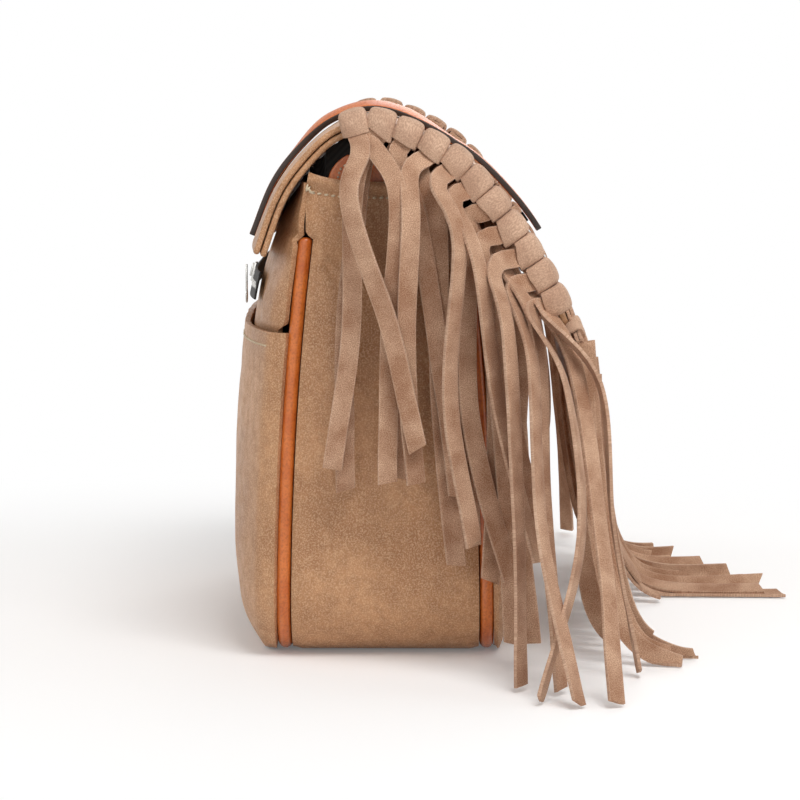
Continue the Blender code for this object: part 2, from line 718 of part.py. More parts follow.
def add_fringe(finish, parent):
    """Every lace: down both sides of the flap and along its front edge."""
    for side, label in ((-1, "near"), (1, "far")):
        for index, rows in enumerate(SIDE_TAILS):
            frame = side_frame(side, index)
            heights = (GAP + LACE_THICKNESS / 2, GAP + LACE_THICKNESS / 2 + LACE_SPACING)
            low, high = sorted(rows, key=lambda row: row[5])
            tails = [side_tail(frame, side, row, height) for row, height in zip((low, high), heights)]
            add_lace(f"lace_{label}_{index + 1:02d}", frame, tails, finish, parent)
    for index, u in enumerate(front_places()):
        frame = front_frame(u)
        heights = (GAP + LACE_THICKNESS / 2, GAP + LACE_THICKNESS / 2 + LACE_SPACING)
        tails = [front_tail(frame, index, strand, height) for strand, height in enumerate(heights)]
        add_lace(f"lace_front_{index + 1:02d}", frame, tails, finish, parent)


def add_empty(name, location, parent=None):
    made = bpy.data.objects.new(name, None)
    PARTS.objects.link(made)
    made.location = location
    if parent:
        made.parent = parent
        made.matrix_parent_inverse = Matrix.Translation(-parent.location)
    return made


clear_scene()
PARTS = make_collection("fringed_bag")
GUIDES = make_collection("knot_bands")

KHAKI = material("khaki leather", (0.42, 0.26, 0.16), 0.5)
COGNAC = material("cognac leather", (0.48, 0.14, 0.03), 0.35)
SUEDE = material("suede", (0.47, 0.31, 0.20), 0.95)
BLACK = material("black lining cloth", (0.02, 0.018, 0.017), 0.9)
DARK = material("dark edge paint", (0.06, 0.03, 0.02), 0.5)
NICKEL = material("nickel", (0.72, 0.71, 0.70), 0.25, 1.0)

flap_hinge = add_empty("flap_hinge", HINGE)
slider_out = (TAPE_STAND_OFF + GAP + TAPE_THICKNESS + SLIDER_SIZE[1] / 2) / math.cos(zip_lean())
slider_place = Vector((0, zip_face(0, ZIP_HEIGHT) + slider_out, ZIP_HEIGHT))
slider_slide = add_empty("slider_slide", slider_place)
pull_out = SLIDER_SIZE[1] / 2 + SLIDER_SIZE[2] / 2 * math.sin(zip_lean()) + GAP + PULL_THICKNESS / 2
pull_place = slider_place + Vector((0, pull_out, SLIDER_SIZE[2] * 0.35))
pocket_face = zip_face(0, POCKET_TOP) + WALL + POCKET_SLACK + POCKET_STAND_OFF + 2 * GAP + WALL
pull_place.y = max(pull_place.y, pocket_face + PULL_THICKNESS / 2 if POCKET_TOP > pull_place.z - PULL_LENGTH else 0)
pull_hinge = add_empty("pull_hinge", pull_place)

add_gusset(KHAKI)
add_panel("back_panel", 1, BACK_TOP, BACK_PEAK, BACK_BULGE, KHAKI)
add_pocket(KHAKI)
add_panel("front_panel", -1, FRONT_TOP, FRONT_PEAK, FRONT_BULGE, KHAKI, 11)
add_piping("piping_back", 1, COGNAC)
add_piping("piping_front", -1, COGNAC)
add_lining(BLACK)
add_flap_layer("flap_outer", 0.0, KHAKI, flap_hinge)
add_flap_layer("flap_lining", FLAP_LAYER + LAYER_GAP, KHAKI, flap_hinge)
add_strap(COGNAC, flap_hinge)
add_closure(NICKEL, DARK, flap_hinge)
add_zip(BLACK, NICKEL, slider_slide, pull_hinge)
add_tab("strap_tab_near", -1, COGNAC)
add_tab("strap_tab_far", 1, COGNAC)
add_fringe(SUEDE, flap_hinge)
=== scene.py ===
import math
from itertools import accumulate

import bmesh
import bpy
from mathutils import Matrix, Vector, noise


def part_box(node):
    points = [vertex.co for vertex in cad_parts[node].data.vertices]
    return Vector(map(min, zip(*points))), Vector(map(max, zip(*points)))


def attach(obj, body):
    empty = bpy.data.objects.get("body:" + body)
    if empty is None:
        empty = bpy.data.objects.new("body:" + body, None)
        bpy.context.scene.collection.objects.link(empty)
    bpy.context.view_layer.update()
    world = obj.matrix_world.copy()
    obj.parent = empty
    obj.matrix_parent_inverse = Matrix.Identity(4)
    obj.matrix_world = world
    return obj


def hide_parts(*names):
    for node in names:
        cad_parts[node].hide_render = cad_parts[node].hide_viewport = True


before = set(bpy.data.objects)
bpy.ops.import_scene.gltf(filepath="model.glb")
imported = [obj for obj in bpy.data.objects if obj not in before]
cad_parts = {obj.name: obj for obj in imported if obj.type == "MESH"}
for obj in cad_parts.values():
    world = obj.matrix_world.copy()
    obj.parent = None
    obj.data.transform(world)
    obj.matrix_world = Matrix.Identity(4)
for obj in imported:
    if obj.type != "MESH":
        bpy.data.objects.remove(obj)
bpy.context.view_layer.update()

# The bag is seen from its near end, from a little above the top of the flap and looking slightly
# down, through a long lens that hardly shows its width.
CAMERA_PLACE = Vector((-1.485, -0.0189, 0.258))
CAMERA_PITCH = math.radians(6.18)
CAMERA_YAW = math.radians(0.535)

camera = bpy.data.objects.new("camera", bpy.data.cameras.new("camera"))
camera.data.sensor_width = 36
camera.data.lens = 144.63
camera.data.clip_end = 20
camera.location = CAMERA_PLACE
camera.rotation_mode = "QUATERNION"
level = math.cos(CAMERA_PITCH)
ahead = Vector((level * math.cos(CAMERA_YAW), level * math.sin(CAMERA_YAW), -math.sin(CAMERA_PITCH)))
camera.rotation_quaternion = ahead.to_track_quat("-Z", "Y")
bpy.context.scene.collection.objects.link(camera)
bpy.context.scene.camera = camera
bpy.context.scene.view_settings.view_transform = "Standard"

# Studio: a white paper floor that keeps the bag's soft shadow and fades to white further out,
# a white surround, one large soft lamp above and weaker ones round the bag.
FLOOR_REACH = 6.0
FLOOR_FADE = (0.22, 0.50)     # metres from the bag over which the floor turns to plain white
FLOOR_GLOW = 0.12             # what the floor adds to its own lit colour for the camera
SURROUND = 0.36
LAMP_AIM = Vector((0, -0.03, 0.10))
LAMPS = (                     # place, size in metres, watts
    ((-0.80, -0.35, 1.30), 0.7, 13.0),
    ((-1.45, 0.45, 0.55), 0.6, 2.6),
    ((-0.55, -1.35, 0.50), 0.7, 2.4),
    ((1.25, -0.35, 0.80), 0.8, 5.0),
    ((0.25, 1.35, 0.75), 0.8, 2.8),
)


def linear(code):
    """Linear colour of an sRGB hex code."""
    parts = [int(code[i:i + 2], 16) / 255 for i in (1, 3, 5)]
    return (*(p / 12.92 if p <= 0.04045 else ((p + 0.055) / 1.055) ** 2.4 for p in parts), 1)


def feed(tree, node, inputs):
    """Gives a node its inputs as values or as links from other nodes."""
    for name, value in inputs.items():
        if isinstance(value, bpy.types.NodeSocket):
            tree.links.new(value, node.inputs[name])
        else:
            node.inputs[name].default_value = value


def add_node(tree, kind, settings=None, inputs=None):
    """Adds a node with its own settings and its inputs."""
    made = tree.nodes.new(kind)
    for name, value in (settings or {}).items():
        setattr(made, name, value)
    feed(tree, made, inputs or {})
    return made


def figure(tree, operation, *values):
    """Result of a sum with numbers or with other nodes' results."""
    return add_node(tree, "ShaderNodeMath", {"operation": operation}, dict(enumerate(values))).outputs[0]


def new_material(name):
    """Material, with its tree, its shader and the point that is shaded."""
    made = bpy.data.materials.new(name)
    made.use_nodes = True
    spot = add_node(made.node_tree, "ShaderNodeTexCoord").outputs["Object"]
    return made, made.node_tree, made.node_tree.nodes["Principled BSDF"], spot


def mesh_of(shape, name):
    made = bpy.data.meshes.new(name)
    shape.to_mesh(made)
    shape.free()
    return made


def remap(tree, value, low, high, to_low=0, to_high=1):
    """Value taken from one range to another and kept inside it."""
    return add_node(tree, "ShaderNodeMapRange", None, {"Value": value, "From Min": low, "From Max": high,
                                                       "To Min": to_low, "To Max": to_high}).outputs[0]


def seen_share(tree):
    """1 for a ray that shows the surround itself, 0 for one that lights the bag."""
    path = add_node(tree, "ShaderNodeLightPath")
    mirror = figure(tree, "MAXIMUM", path.outputs["Is Glossy Ray"], path.outputs["Is Transmission Ray"])
    return figure(tree, "MAXIMUM", path.outputs["Is Camera Ray"], mirror)


# White seamless paper: matt, slightly grey where the bag shades it
floor_paper, tree, shader, spot = new_material("white seamless paper")
feed(tree, shader, {"Base Color": linear("#F0EFEE"), "Roughness": 0.75})
seen = seen_share(tree)
away = add_node(tree, "ShaderNodeVectorMath", {"operation": "LENGTH"}, {0: spot}).outputs["Value"]
fade = add_node(tree, "ShaderNodeMapRange", {"interpolation_type": "SMOOTHSTEP"},
                {"Value": away, "From Min": FLOOR_FADE[0], "From Max": FLOOR_FADE[1]}).outputs[0]
near_light = add_node(tree, "ShaderNodeEmission", None,
                      {"Strength": figure(tree, "MULTIPLY", seen, FLOOR_GLOW)}).outputs[0]
near_floor = add_node(tree, "ShaderNodeAddShader", None, {0: shader.outputs[0], 1: near_light}).outputs[0]
far_light = add_node(tree, "ShaderNodeEmission", None, {"Strength": 1.0}).outputs[0]
whole_floor = add_node(tree, "ShaderNodeMixShader", None,
                       {0: figure(tree, "MULTIPLY", seen, fade), 1: near_floor, 2: far_light})
feed(tree, tree.nodes["Material Output"], {"Surface": whole_floor.outputs[0]})

shape = bmesh.new()
bmesh.ops.create_grid(shape, x_segments=2, y_segments=2, size=FLOOR_REACH,
                      matrix=Matrix.Translation((0, 0, -0.0004)))
mesh = mesh_of(shape, "floor")
floor = bpy.data.objects.new("floor", mesh)
bpy.context.scene.collection.objects.link(floor)
mesh.materials.append(floor_paper)

surround = bpy.data.worlds.new("white surround")
surround.use_nodes = True
tree = surround.node_tree
level = remap(tree, seen_share(tree), 0, 1, SURROUND, 1.0)
feed(tree, tree.nodes["Background"], {"Color": (1, 1, 1, 1), "Strength": level})
bpy.context.scene.world = surround

for index, (place, size, watts) in enumerate(LAMPS):
    lamp = bpy.data.objects.new(f"lamp_{index}", bpy.data.lights.new(f"lamp_{index}", "AREA"))
    lamp.data.size = size
    lamp.data.energy = watts
    lamp.location = place
    lamp.rotation_mode = "QUATERNION"
    lamp.rotation_quaternion = (LAMP_AIM - Vector(place)).to_track_quat("-Z", "Y")
    bpy.context.scene.collection.objects.link(lamp)

# Gusset: one strip of khaki calf leather makes both ends and the base. It is 2.4 mm thick with its
# backing, sewn into the corded piping, and its two mouth ends are turned over and stitched.
BODY_WIDTH = 0.270
BASE_DEPTH = 0.087
TOP_PINCH = 0.010
PINCH_POWER = 2.2
PIPING_TOP = 0.180
PIPING_RADIUS = 0.003
GUSSET_HEIGHT = 0.204
HEM_RISE = 0.004
HEM_HEIGHT = 0.0048
HEM_STEP = 0.0022
HEM_GROOVE = 0.0003
HEM_STITCHES = 0.0020         # their row below the hem
GUSSET_PUFF = 0.002
BASE_RADIUS = 0.032
WALL = 0.0024
GAP = 0.0003
HALF_WIDTH = BODY_WIDTH / 2
FOLD_DEPTH = 0.0019
EDGE_DROP = 0.0009            # how far the strip's long edges lie below its face
HOLLOW = (0.021, 0.168, 0.009, 0.0028)    # beside a piping: off the middle, height, reach, depth
WAVES = ((0.034, 0.0009), (0.011, 0.00035))    # unevenness of the soft leather: width, depth
PINCH_FOLDS = (               # direction and width in degrees, share of the depth
    (-64, 6, 0.55), (-50, 4, 0.70), (-38, 4, 0.55), (-26, 4, 0.35), (-12, 6, 0.30), (14, 9, 0.35),
)


def cloudy(tree, spot, scale, detail, roughness=0.5, distortion=0.0):
    """Noise from 0 to 1 with features of about one part in scale of a metre."""
    return add_node(tree, "ShaderNodeTexNoise", None,
                    {"Vector": spot, "Scale": scale, "Detail": detail, "Roughness": roughness,
                     "Distortion": distortion}).outputs[0]


def mixed(tree, share, one, two, blend="MIX"):
    """Goes from colour one to colour two with the share."""
    return add_node(tree, "ShaderNodeMix", {"data_type": "RGBA", "blend_type": blend},
                    {0: share, 6: one, 7: two}).outputs[2]


def add_relief(tree, shader, height, strength, distance):
    bump = add_node(tree, "ShaderNodeBump", None,
                    {"Height": height, "Strength": strength, "Distance": distance})
    feed(tree, shader, {"Normal": bump.outputs[0]})


def cell_grain(tree, spot, scale, depth):
    """Grain of small flat cells with soft pits between them."""
    cells = add_node(tree, "ShaderNodeTexVoronoi", {"feature": "DISTANCE_TO_EDGE"},
                     {"Vector": spot, "Scale": scale})
    return figure(tree, "MINIMUM", cells.outputs[0], depth)


def smooth(low, high, value):
    """Rises softly from 0 to 1 as the value goes from low to high."""
    share = min(max((value - low) / (high - low), 0.0), 1.0)
    return share * share * (3 - 2 * share)


def ripple(a, b, c, size):
    """Soft unevenness from -1 to 1 with bumps of about that size."""
    return noise.noise(Vector((a, b, c)) / size) * 1.6


def grid_mesh(name, surface, columns, rows):
    """Open sheet whose faces point along the cross product of its two directions."""
    shape = bmesh.new()
    bmesh.ops.create_grid(shape, x_segments=columns, y_segments=rows, size=1)
    for vert in shape.verts:
        vert.co = surface(vert.co.x, vert.co.y)
    return mesh_of(shape, name)


def add_piece(name, made, *finishes):
    """Object at the origin with its place in its mesh."""
    piece = bpy.data.objects.new(name, made)
    bpy.context.scene.collection.objects.link(piece)
    for finish in finishes:
        made.materials.append(finish)
    made.shade_smooth()
    return piece


def thicken(piece, wall, rounding, offset=-1.0, rim=0, segments=3):
    """Gives a sheet its thickness and rounds its cut or turned edges."""
    solid = piece.modifiers.new("Thickness", "SOLIDIFY")
    solid.thickness = wall
    solid.offset = offset
    solid.use_even_offset = True
    solid.material_offset_rim = rim
    edge = piece.modifiers.new("Rounded edges", "BEVEL")
    edge.width = rounding
    edge.segments = segments
    edge.profile = 0.5
    edge.limit_method = "ANGLE"
    edge.angle_limit = math.radians(60)
    edge.harden_normals = False
    return piece


def half_depth(height):
    """Half the depth between the piping loops at a height."""
    return BASE_DEPTH / 2 - TOP_PINCH * (min(height, PIPING_TOP) / PIPING_TOP) ** PINCH_POWER


def half_span(height, inset=0.0):
    """Half the body's width at a height, which narrows into the rounded lower corners."""
    drop = max(BASE_RADIUS - height, 0.0)
    return HALF_WIDTH - BASE_RADIUS + math.sqrt(max((BASE_RADIUS - inset) ** 2 - drop ** 2, 0.0))


def strip_place(length):
    """Point (x, z) and outward direction on the gusset, by the length from its near hem."""
    leg = GUSSET_HEIGHT - BASE_RADIUS
    arc = BASE_RADIUS * math.pi / 2
    half = leg + arc + HALF_WIDTH - BASE_RADIUS
    side = -1 if length <= half else 1
    length = min(length, 2 * half - length)
    if length < leg:
        return Vector((side * HALF_WIDTH, GUSSET_HEIGHT - length)), Vector((side, 0))
    if length < leg + arc:
        turn = (length - leg) / BASE_RADIUS
        out = Vector((side * math.cos(turn), -math.sin(turn)))
        return Vector((side * (HALF_WIDTH - BASE_RADIUS), BASE_RADIUS)) + out * BASE_RADIUS, out
    return Vector((side * (HALF_WIDTH - BASE_RADIUS - (length - leg - arc)), 0)), Vector((0, -1))


STRIP_LENGTH = 2 * (GUSSET_HEIGHT + HALF_WIDTH) - BASE_RADIUS * (4 - math.pi)


def pinch_folds(y, z):
    """Small folds that fan out in the leather from the upper end of a piping."""
    total = 0.0
    for side in (-1, 1):
        away = Vector((half_depth(PIPING_TOP) - side * y, z - PIPING_TOP - 0.002))
        reach = away.length
        turn = math.degrees(math.atan2(away.y, away.x))
        strength = smooth(0.0, 0.006, reach) * (1 - smooth(0.010, 0.034, reach))
        for angle, width, depth in PINCH_FOLDS:
            total += depth * strength * math.exp(-((turn - angle) / width) ** 2)
    return total * FOLD_DEPTH


def gusset_surface(u, v):
    (x, z), out = strip_place((u + 1) / 2 * STRIP_LENGTH)
    upright = abs(out.x) ** 4
    meet = smooth(PIPING_TOP - 0.0006, PIPING_TOP + 0.0024, z) * (1 - 0.5 * smooth(0.196, 0.206, z))
    if v > 0:
        meet *= 1 - smooth(0.189, 0.197, z)
    reach = half_depth(z) - PIPING_RADIUS - GAP + (PIPING_RADIUS + 0.5 * GAP) * meet
    y = -v * reach
    lift = GUSSET_PUFF * (1 - v * v) * math.sin(math.pi * min(z / GUSSET_HEIGHT, 1.0))
    lift *= smooth(0.01, 0.05, z)
    roll = min(max((z - GUSSET_HEIGHT + HEM_HEIGHT) / HEM_HEIGHT, 0.0), 1.0)
    lift += HEM_STEP * math.sin(math.pi * roll * 0.9) ** 0.6 if roll else 0.0
    off, height, size, depth = HOLLOW
    lift -= depth * math.exp(-((abs(y) - off) / size) ** 2 - ((z - height) / size) ** 2)
    lift -= HEM_GROOVE * math.exp(-((z - GUSSET_HEIGHT + HEM_HEIGHT + 0.0016) / 0.0014) ** 2)
    inner = smooth(0.0, 0.004, reach - abs(y))
    lift -= EDGE_DROP * (1 - inner)
    (wide, deep), (narrow, shallow) = WAVES
    waves = deep * ripple(y, z * 0.6, x, wide) + shallow * ripple(y, z, x, narrow)
    lift += upright * (pinch_folds(y, z) + waves) * inner
    rise = HEM_RISE * max(y / reach, 0.0) ** 3 * smooth(GUSSET_HEIGHT - 0.022, GUSSET_HEIGHT, z)
    lift = min(lift, 0.0) if z < 0.004 else lift
    return Vector((x + out.x * lift, y, z + rise + max(out.y * lift, -z)))


# Drum-dyed calf leather with a pearl finish: warm khaki, softly mottled, with a painted glint of pale
# specks in its colour standing in for the pearl's glitter. The grain cells are 1.1 mm wide, a little
# coarser than the real ones, so that they show.
khaki_leather, tree, shader, spot = new_material("pearl finished khaki leather")
cloud = cloudy(tree, spot, 28, 4, 0.6)
mottle = cloudy(tree, spot, 190, 3, 0.6)
speck = cloudy(tree, spot, 1500, 3, 0.7)
wide = remap(tree, cloud, 0.36, 0.64)
tint = mixed(tree, wide, linear("#A97954"), linear("#C39168"))
small = remap(tree, mottle, 0.40, 0.66, 0, 0.40)
tint = mixed(tree, small, tint, linear("#936848"))
# Painted glint: pale specks mixed into the colour, standing in for light caught by the pearl finish.
painted_glint = remap(tree, speck, 0.47, 0.62, 0, 0.55)
tint = mixed(tree, painted_glint, tint, linear("#E6C19C"))
height = figure(tree, "MULTIPLY_ADD", speck, 0.35, cell_grain(tree, spot, 900, 0.22))
crease = cloudy(tree, spot, 150, 4, 0.6, 1.2)
add_relief(tree, shader, figure(tree, "MULTIPLY_ADD", crease, 2.6, height), 0.30, 0.0005)
feed(tree, shader, {"Base Color": tint, "Roughness": remap(tree, mottle, 0.3, 0.7, 0.38, 0.54),
                    "Specular IOR Level": 0.28})

gusset = add_piece("gusset_leather", grid_mesh("gusset_leather", gusset_surface, 400, 60), khaki_leather)
thicken(gusset, WALL, 0.0009)
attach(gusset, "bag")
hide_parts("gusset")

# Hem stitches: waxed cream thread, 2.2 mm stitches in a row just under each turned hem, with a few
# crossed ones where the row starts at the back corner.
STITCH_LENGTH = 0.0022
STITCH_PITCH = 0.0029
THREAD = 0.00050
HEM_TILT = 0.22
CROSSED = ((0.9, 0.0006), (-0.8, 0.0012), (0.3, -0.0004), (-1.3, 0.0018))    # turn, rise


def stitch_mesh(name, stitches):
    """Thread lying in short rounded stitches; each is a place, its direction and its length."""
    shape = bmesh.new()
    for place, along, length in stitches:
        turn = along.to_track_quat("X", "Z").to_matrix().to_4x4()
        matrix = Matrix.Translation(place) @ turn @ Matrix.Diagonal((length / 2, THREAD, THREAD, 1))
        bmesh.ops.create_uvsphere(shape, u_segments=6, v_segments=5, radius=1, matrix=matrix)
    return mesh_of(shape, name)


def hem_place(side, v):
    """Point on an end of the bag along its row of hem stitches."""
    drop = HEM_HEIGHT + HEM_STITCHES
    u = -1 + 2 * drop / STRIP_LENGTH
    return gusset_surface(u if side < 0 else -u, v)


# Waxed polyester thread: cream, slightly glossy, twisted
cream_thread, tree, shader, spot = new_material("waxed cream thread")
twist = cloudy(tree, spot, 2500, 1)
shade = mixed(tree, twist, linear("#B9A27F"), linear("#EADBC0"))
feed(tree, shader, {"Base Color": shade, "Roughness": 0.55})

stitches = []
for side in (-1, 1):
    count = int(2 * half_depth(GUSSET_HEIGHT) / STITCH_PITCH)
    for i in range(1, count):
        v = -1 + 2 * i / count
        place = hem_place(side, v)
        along = hem_place(side, v + 0.02) - hem_place(side, v - 0.02)
        tilt = Matrix.Rotation(side * HEM_TILT, 3, "X")
        place += Vector((side * THREAD * 0.5, 0, 0))
        stitches.append((place, tilt @ along.normalized(), STITCH_LENGTH))
    for turn, rise in CROSSED:
        place = hem_place(side, -0.93) + Vector((side * THREAD, rise, rise))
        stitches.append((place, Vector((0, math.cos(turn), math.sin(turn))), STITCH_LENGTH * 1.6))
hem_stitches = add_piece("hem_stitches", stitch_mesh("hem_stitches", stitches), cream_thread)
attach(hem_stitches, "bag")

# Back panel, back pocket and front panel: soft khaki leather, sewn into the piping down both sides
# and along the base, and full in the middle because the bag is stuffed. The pocket is a second
# panel over the lower back, open along its top edge.
BACK_BULGE = 0.0195
BACK_TOP = 0.2035
BACK_PEAK = 0.202
FRONT_BULGE = 0.014
FRONT_TOP = 0.190
FRONT_PEAK = 0.190
BULGE_LOW = 0.080
BULGE_HIGH = 0.110
BULGE_POWER = 3.3
POCKET_TOP = 0.140
POCKET_STAND_OFF = 0.0012
POCKET_SLACK = 0.0004
STITCHES_DROP = 0.006         # from the pocket's mouth down to its row of stitches
STITCHES_GROOVE = 0.0004
MOUTH_TAKE_IN = 0.0022
STEP_SHARE = 0.952            # share of a panel's half width where its step ends
ROLL_SHARE = 0.975
WALL_STEP = 0.0027            # from the back panel's face out to the pocket's
EDGE_ROLL = 0.0014            # how far a panel's sewn edge is drawn in round the piping


def bulge(x, height, top, depth):
    """How far a soft panel stands out from its piping."""
    across = 1 - abs(x / half_span(height)) ** 4
    low = max(BULGE_LOW - height, 0.0) / BULGE_LOW
    high = max(height - BULGE_HIGH, 0.0) / (top - BULGE_HIGH)
    return depth * max(across, 0.0) * (1 - low ** 6) * (1 - 0.95 * min(high, 1.0) ** BULGE_POWER)


def panel_face(x, height, top, depth):
    """Distance of a panel's outer face from the bag's middle plane."""
    return half_depth(height) + PIPING_RADIUS + GAP + WALL + bulge(x, height, top, depth)


def panel_slope(x, height, peak, depth, step=0.001):
    """How much longer a step across the panel's wall is when it is taken along Y."""
    def face(across, up):
        return panel_face(across, up, peak, depth)

    low = max(height - step, GAP)
    rise = (face(x, low + 2 * step) - face(x, low)) / (2 * step)
    run = (face(x + step, height) - face(x - step, height)) / (2 * step)
    return math.sqrt(1 + rise * rise + run * run)


def slackness(x, height, side):
    """Shallow hollows in a stuffed panel, which die away at its sewn edges; it never stands out further."""
    inner = (1 - (x / half_span(height)) ** 6) * smooth(0.006, 0.030, height)
    hollow = 0.0011 * (ripple(x, height * 0.8, side, 0.045) - 0.8) + 0.0003 * ripple(x, height, side, 0.014)
    return inner * (hollow - 0.0012)


def add_panel(name, side, top, peak, depth):
    """Front or back panel."""
    def surface(u, v):
        height = GAP + (top - GAP) * (1 - math.cos((v + 1) / 4 * math.pi))
        x = -side * u * (half_span(height) - GAP)
        if side > 0:
            x *= 1 - 0.05 * (1 - smooth(POCKET_TOP + 0.0005, POCKET_TOP + 0.004, height))
        face = panel_face(x, height, peak, depth) + slackness(x, height, side)
        face -= PIPING_RADIUS * smooth(PIPING_TOP - 0.0006, PIPING_TOP + 0.0022, height) * abs(u) ** 12
        sewn = 1 - smooth(PIPING_TOP - 0.003, PIPING_TOP, height)
        face -= MOUTH_TAKE_IN * smooth(0.186, 0.203, height)
        face -= 0.6 * EDGE_ROLL * sewn * smooth(ROLL_SHARE, 1.0, abs(u))
        if side > 0:
            beside = smooth(0.72, 0.84, abs(u)) * smooth(POCKET_TOP + 0.001, POCKET_TOP + 0.004, height)
            beside *= 1 - smooth(STEP_SHARE, 1.0, abs(u))
            face += WALL_STEP * beside * (1 - smooth(0.150, 0.172, height))
        return Vector((x, side * face, height))

    return thicken(add_piece(name, grid_mesh(name, surface, 96, 120), khaki_leather), WALL, 0.0009)


back = add_panel("back_panel_leather", 1, BACK_TOP, BACK_PEAK, BACK_BULGE)
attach(back, "bag")
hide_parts("back_panel")
front = add_panel("front_panel_leather", -1, FRONT_TOP, FRONT_PEAK, FRONT_BULGE)
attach(front, "bag")
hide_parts("front_panel")


def pocket_surface(u, v):
    height = GAP + (POCKET_TOP - GAP) * (1 - math.cos((v + 1) / 4 * math.pi))
    x = -u * (half_span(height) - GAP)
    slack = POCKET_SLACK + POCKET_STAND_OFF * (1 - u ** 4) * (height / POCKET_TOP) ** 2
    step = (WALL + GAP + slack) * panel_slope(x, height, BACK_PEAK, BACK_BULGE)
    face = panel_face(x, height, BACK_PEAK, BACK_BULGE) + step + slackness(x, height, 1)
    face -= STITCHES_GROOVE * math.exp(-((height - POCKET_TOP + STITCHES_DROP) / 0.0012) ** 2)
    face -= WALL_STEP * smooth(STEP_SHARE, 1.0, abs(u)) + 1.7 * EDGE_ROLL * smooth(ROLL_SHARE, 1.0, abs(u))
    return Vector((x, face, height))


mesh = grid_mesh("back_pocket_leather", pocket_surface, 96, 80)
pocket = add_piece("back_pocket_leather", mesh, khaki_leather)
thicken(pocket, WALL, 0.0009)
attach(pocket, "bag")
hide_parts("back_pocket")

# Pocket stitches: a row of the same cream thread 6 mm under the pocket's mouth, sewn through the
# leather from one side to the other
STITCHES_SPAN = 0.94          # share of the pocket's width
stitches = []
share = math.acos(1 - (POCKET_TOP - STITCHES_DROP - GAP) / (POCKET_TOP - GAP)) * 4 / math.pi - 1
count = int(2 * STITCHES_SPAN * HALF_WIDTH / STITCH_PITCH)
for i in range(count + 1):
    u = STITCHES_SPAN * (-1 + 2 * i / count)
    along = pocket_surface(u + 0.01, share) - pocket_surface(u - 0.01, share)
    place = pocket_surface(u, share) + Vector((0, THREAD * 0.5, 0))
    stitches.append((place, along.normalized(), STITCH_LENGTH))
pocket_stitches = add_piece("pocket_stitches", stitch_mesh("pocket_stitches", stitches), cream_thread)
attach(pocket_stitches, "bag")

# Piping: a 6 mm cord wrapped in glossy cognac leather and sewn between the gusset and each panel.
# It runs down one end, along the base and up the other, and its two ends are blunt.
PIPING_END = 0.0012


def tube_mesh(name, points, radii, sides=14):
    """Round cord through the points; a radius of nothing closes an end."""
    shape = bmesh.new()
    rows = len(points) - 1
    bmesh.ops.create_grid(shape, x_segments=sides, y_segments=rows, size=1)
    firsts = []
    first = Vector((0, 1, 0))
    for i in range(rows + 1):
        along = (points[min(i + 1, rows)] - points[max(i - 1, 0)]).normalized()
        first = (first - along * along.dot(first)).normalized()
        firsts.append((first, along.cross(first)))
    for vert in shape.verts:
        row = round((vert.co.y + 1) / 2 * rows)
        turn = vert.co.x * math.pi
        one, two = firsts[row]
        vert.co = points[row] + (one * math.cos(turn) + two * math.sin(turn)) * radii[row]
    bmesh.ops.remove_doubles(shape, verts=shape.verts[:], dist=1e-6)
    bmesh.ops.recalc_face_normals(shape, faces=shape.faces[:])
    return mesh_of(shape, name)


def piping_line(side):
    """Centre line of a piping from the near end's top to the far end's."""
    inset = PIPING_RADIUS + GAP
    radius = BASE_RADIUS - inset
    low = BASE_RADIUS
    leg = [Vector((-HALF_WIDTH + inset, low + (PIPING_TOP - low) * (1 - i / 60))) for i in range(60)]
    leg += [Vector((-HALF_WIDTH + BASE_RADIUS - radius * math.cos(math.pi / 40 * i),
                    BASE_RADIUS - radius * math.sin(math.pi / 40 * i))) for i in range(21)]
    flat = [Vector((leg[-1].x * (1 - 2 * (i + 1) / 40), leg[-1].y)) for i in range(39)]
    line = leg + flat + [Vector((-p.x, p.y)) for p in reversed(leg)]
    return [Vector((x, side * half_depth(z), z)) for x, z in line]


# Glazed cognac leather over cord: saturated orange brown, glossy, with a fine drawn grain and
# darker patches where the dye has soaked in
cognac_leather, tree, shader, spot = new_material("glazed cognac leather")
cloud = cloudy(tree, spot, 70, 4, 0.6)
speck = cloudy(tree, spot, 900, 3)
wide = remap(tree, cloud, 0.35, 0.65)
tint = mixed(tree, wide, linear("#C25E1E"), linear("#DC7A32"))
small = remap(tree, speck, 0.45, 0.72, 0, 0.45)
tint = mixed(tree, small, tint, linear("#8F3E12"))
add_relief(tree, shader, cell_grain(tree, spot, 1100, 0.2), 0.22, 0.0004)
feed(tree, shader, {"Base Color": tint, "Roughness": remap(tree, speck, 0, 1, 0.26, 0.46),
                    "Coat Weight": 0.35, "Coat Roughness": 0.22})

for name, side in (("piping_back", 1), ("piping_front", -1)):
    line = piping_line(side)
    top = Vector((0, 0, 1))
    ends = [line[0] + top * PIPING_END * share for share in (0.5, 0.05, -0.6)]
    far = [line[-1] + top * PIPING_END * share for share in (-0.6, 0.05, 0.5)]
    points = ends + line[1:-1] + far
    radii = [0.0, PIPING_RADIUS * 0.75] + [PIPING_RADIUS] * (len(points) - 4) + [PIPING_RADIUS * 0.75, 0.0]
    piping = add_piece(name + "_cord", tube_mesh(name + "_cord", points, radii), cognac_leather)
    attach(piping, "bag")
    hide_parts(name)

# Lining: a loose bag of black cotton twill, sewn in along the mouth. It hangs in shallow folds and
# lies on the base.
LINING = 0.001
LINING_INSET = 0.0072
LINING_TOP = 0.198
LINING_TAKE_IN = 0.0026       # towards the mouth
LINING_FOLD = 0.0012
LINING_CORNER = 9             # how square it is, seen from above
CORNER_TOP = 0.2243           # its back corners stand up to just under the flap
CORNER_FALL = 23.0            # and fall away towards the back as it arches down
CORNER_DEPTH = 0.0325
CORNER_FLAT = 0.006


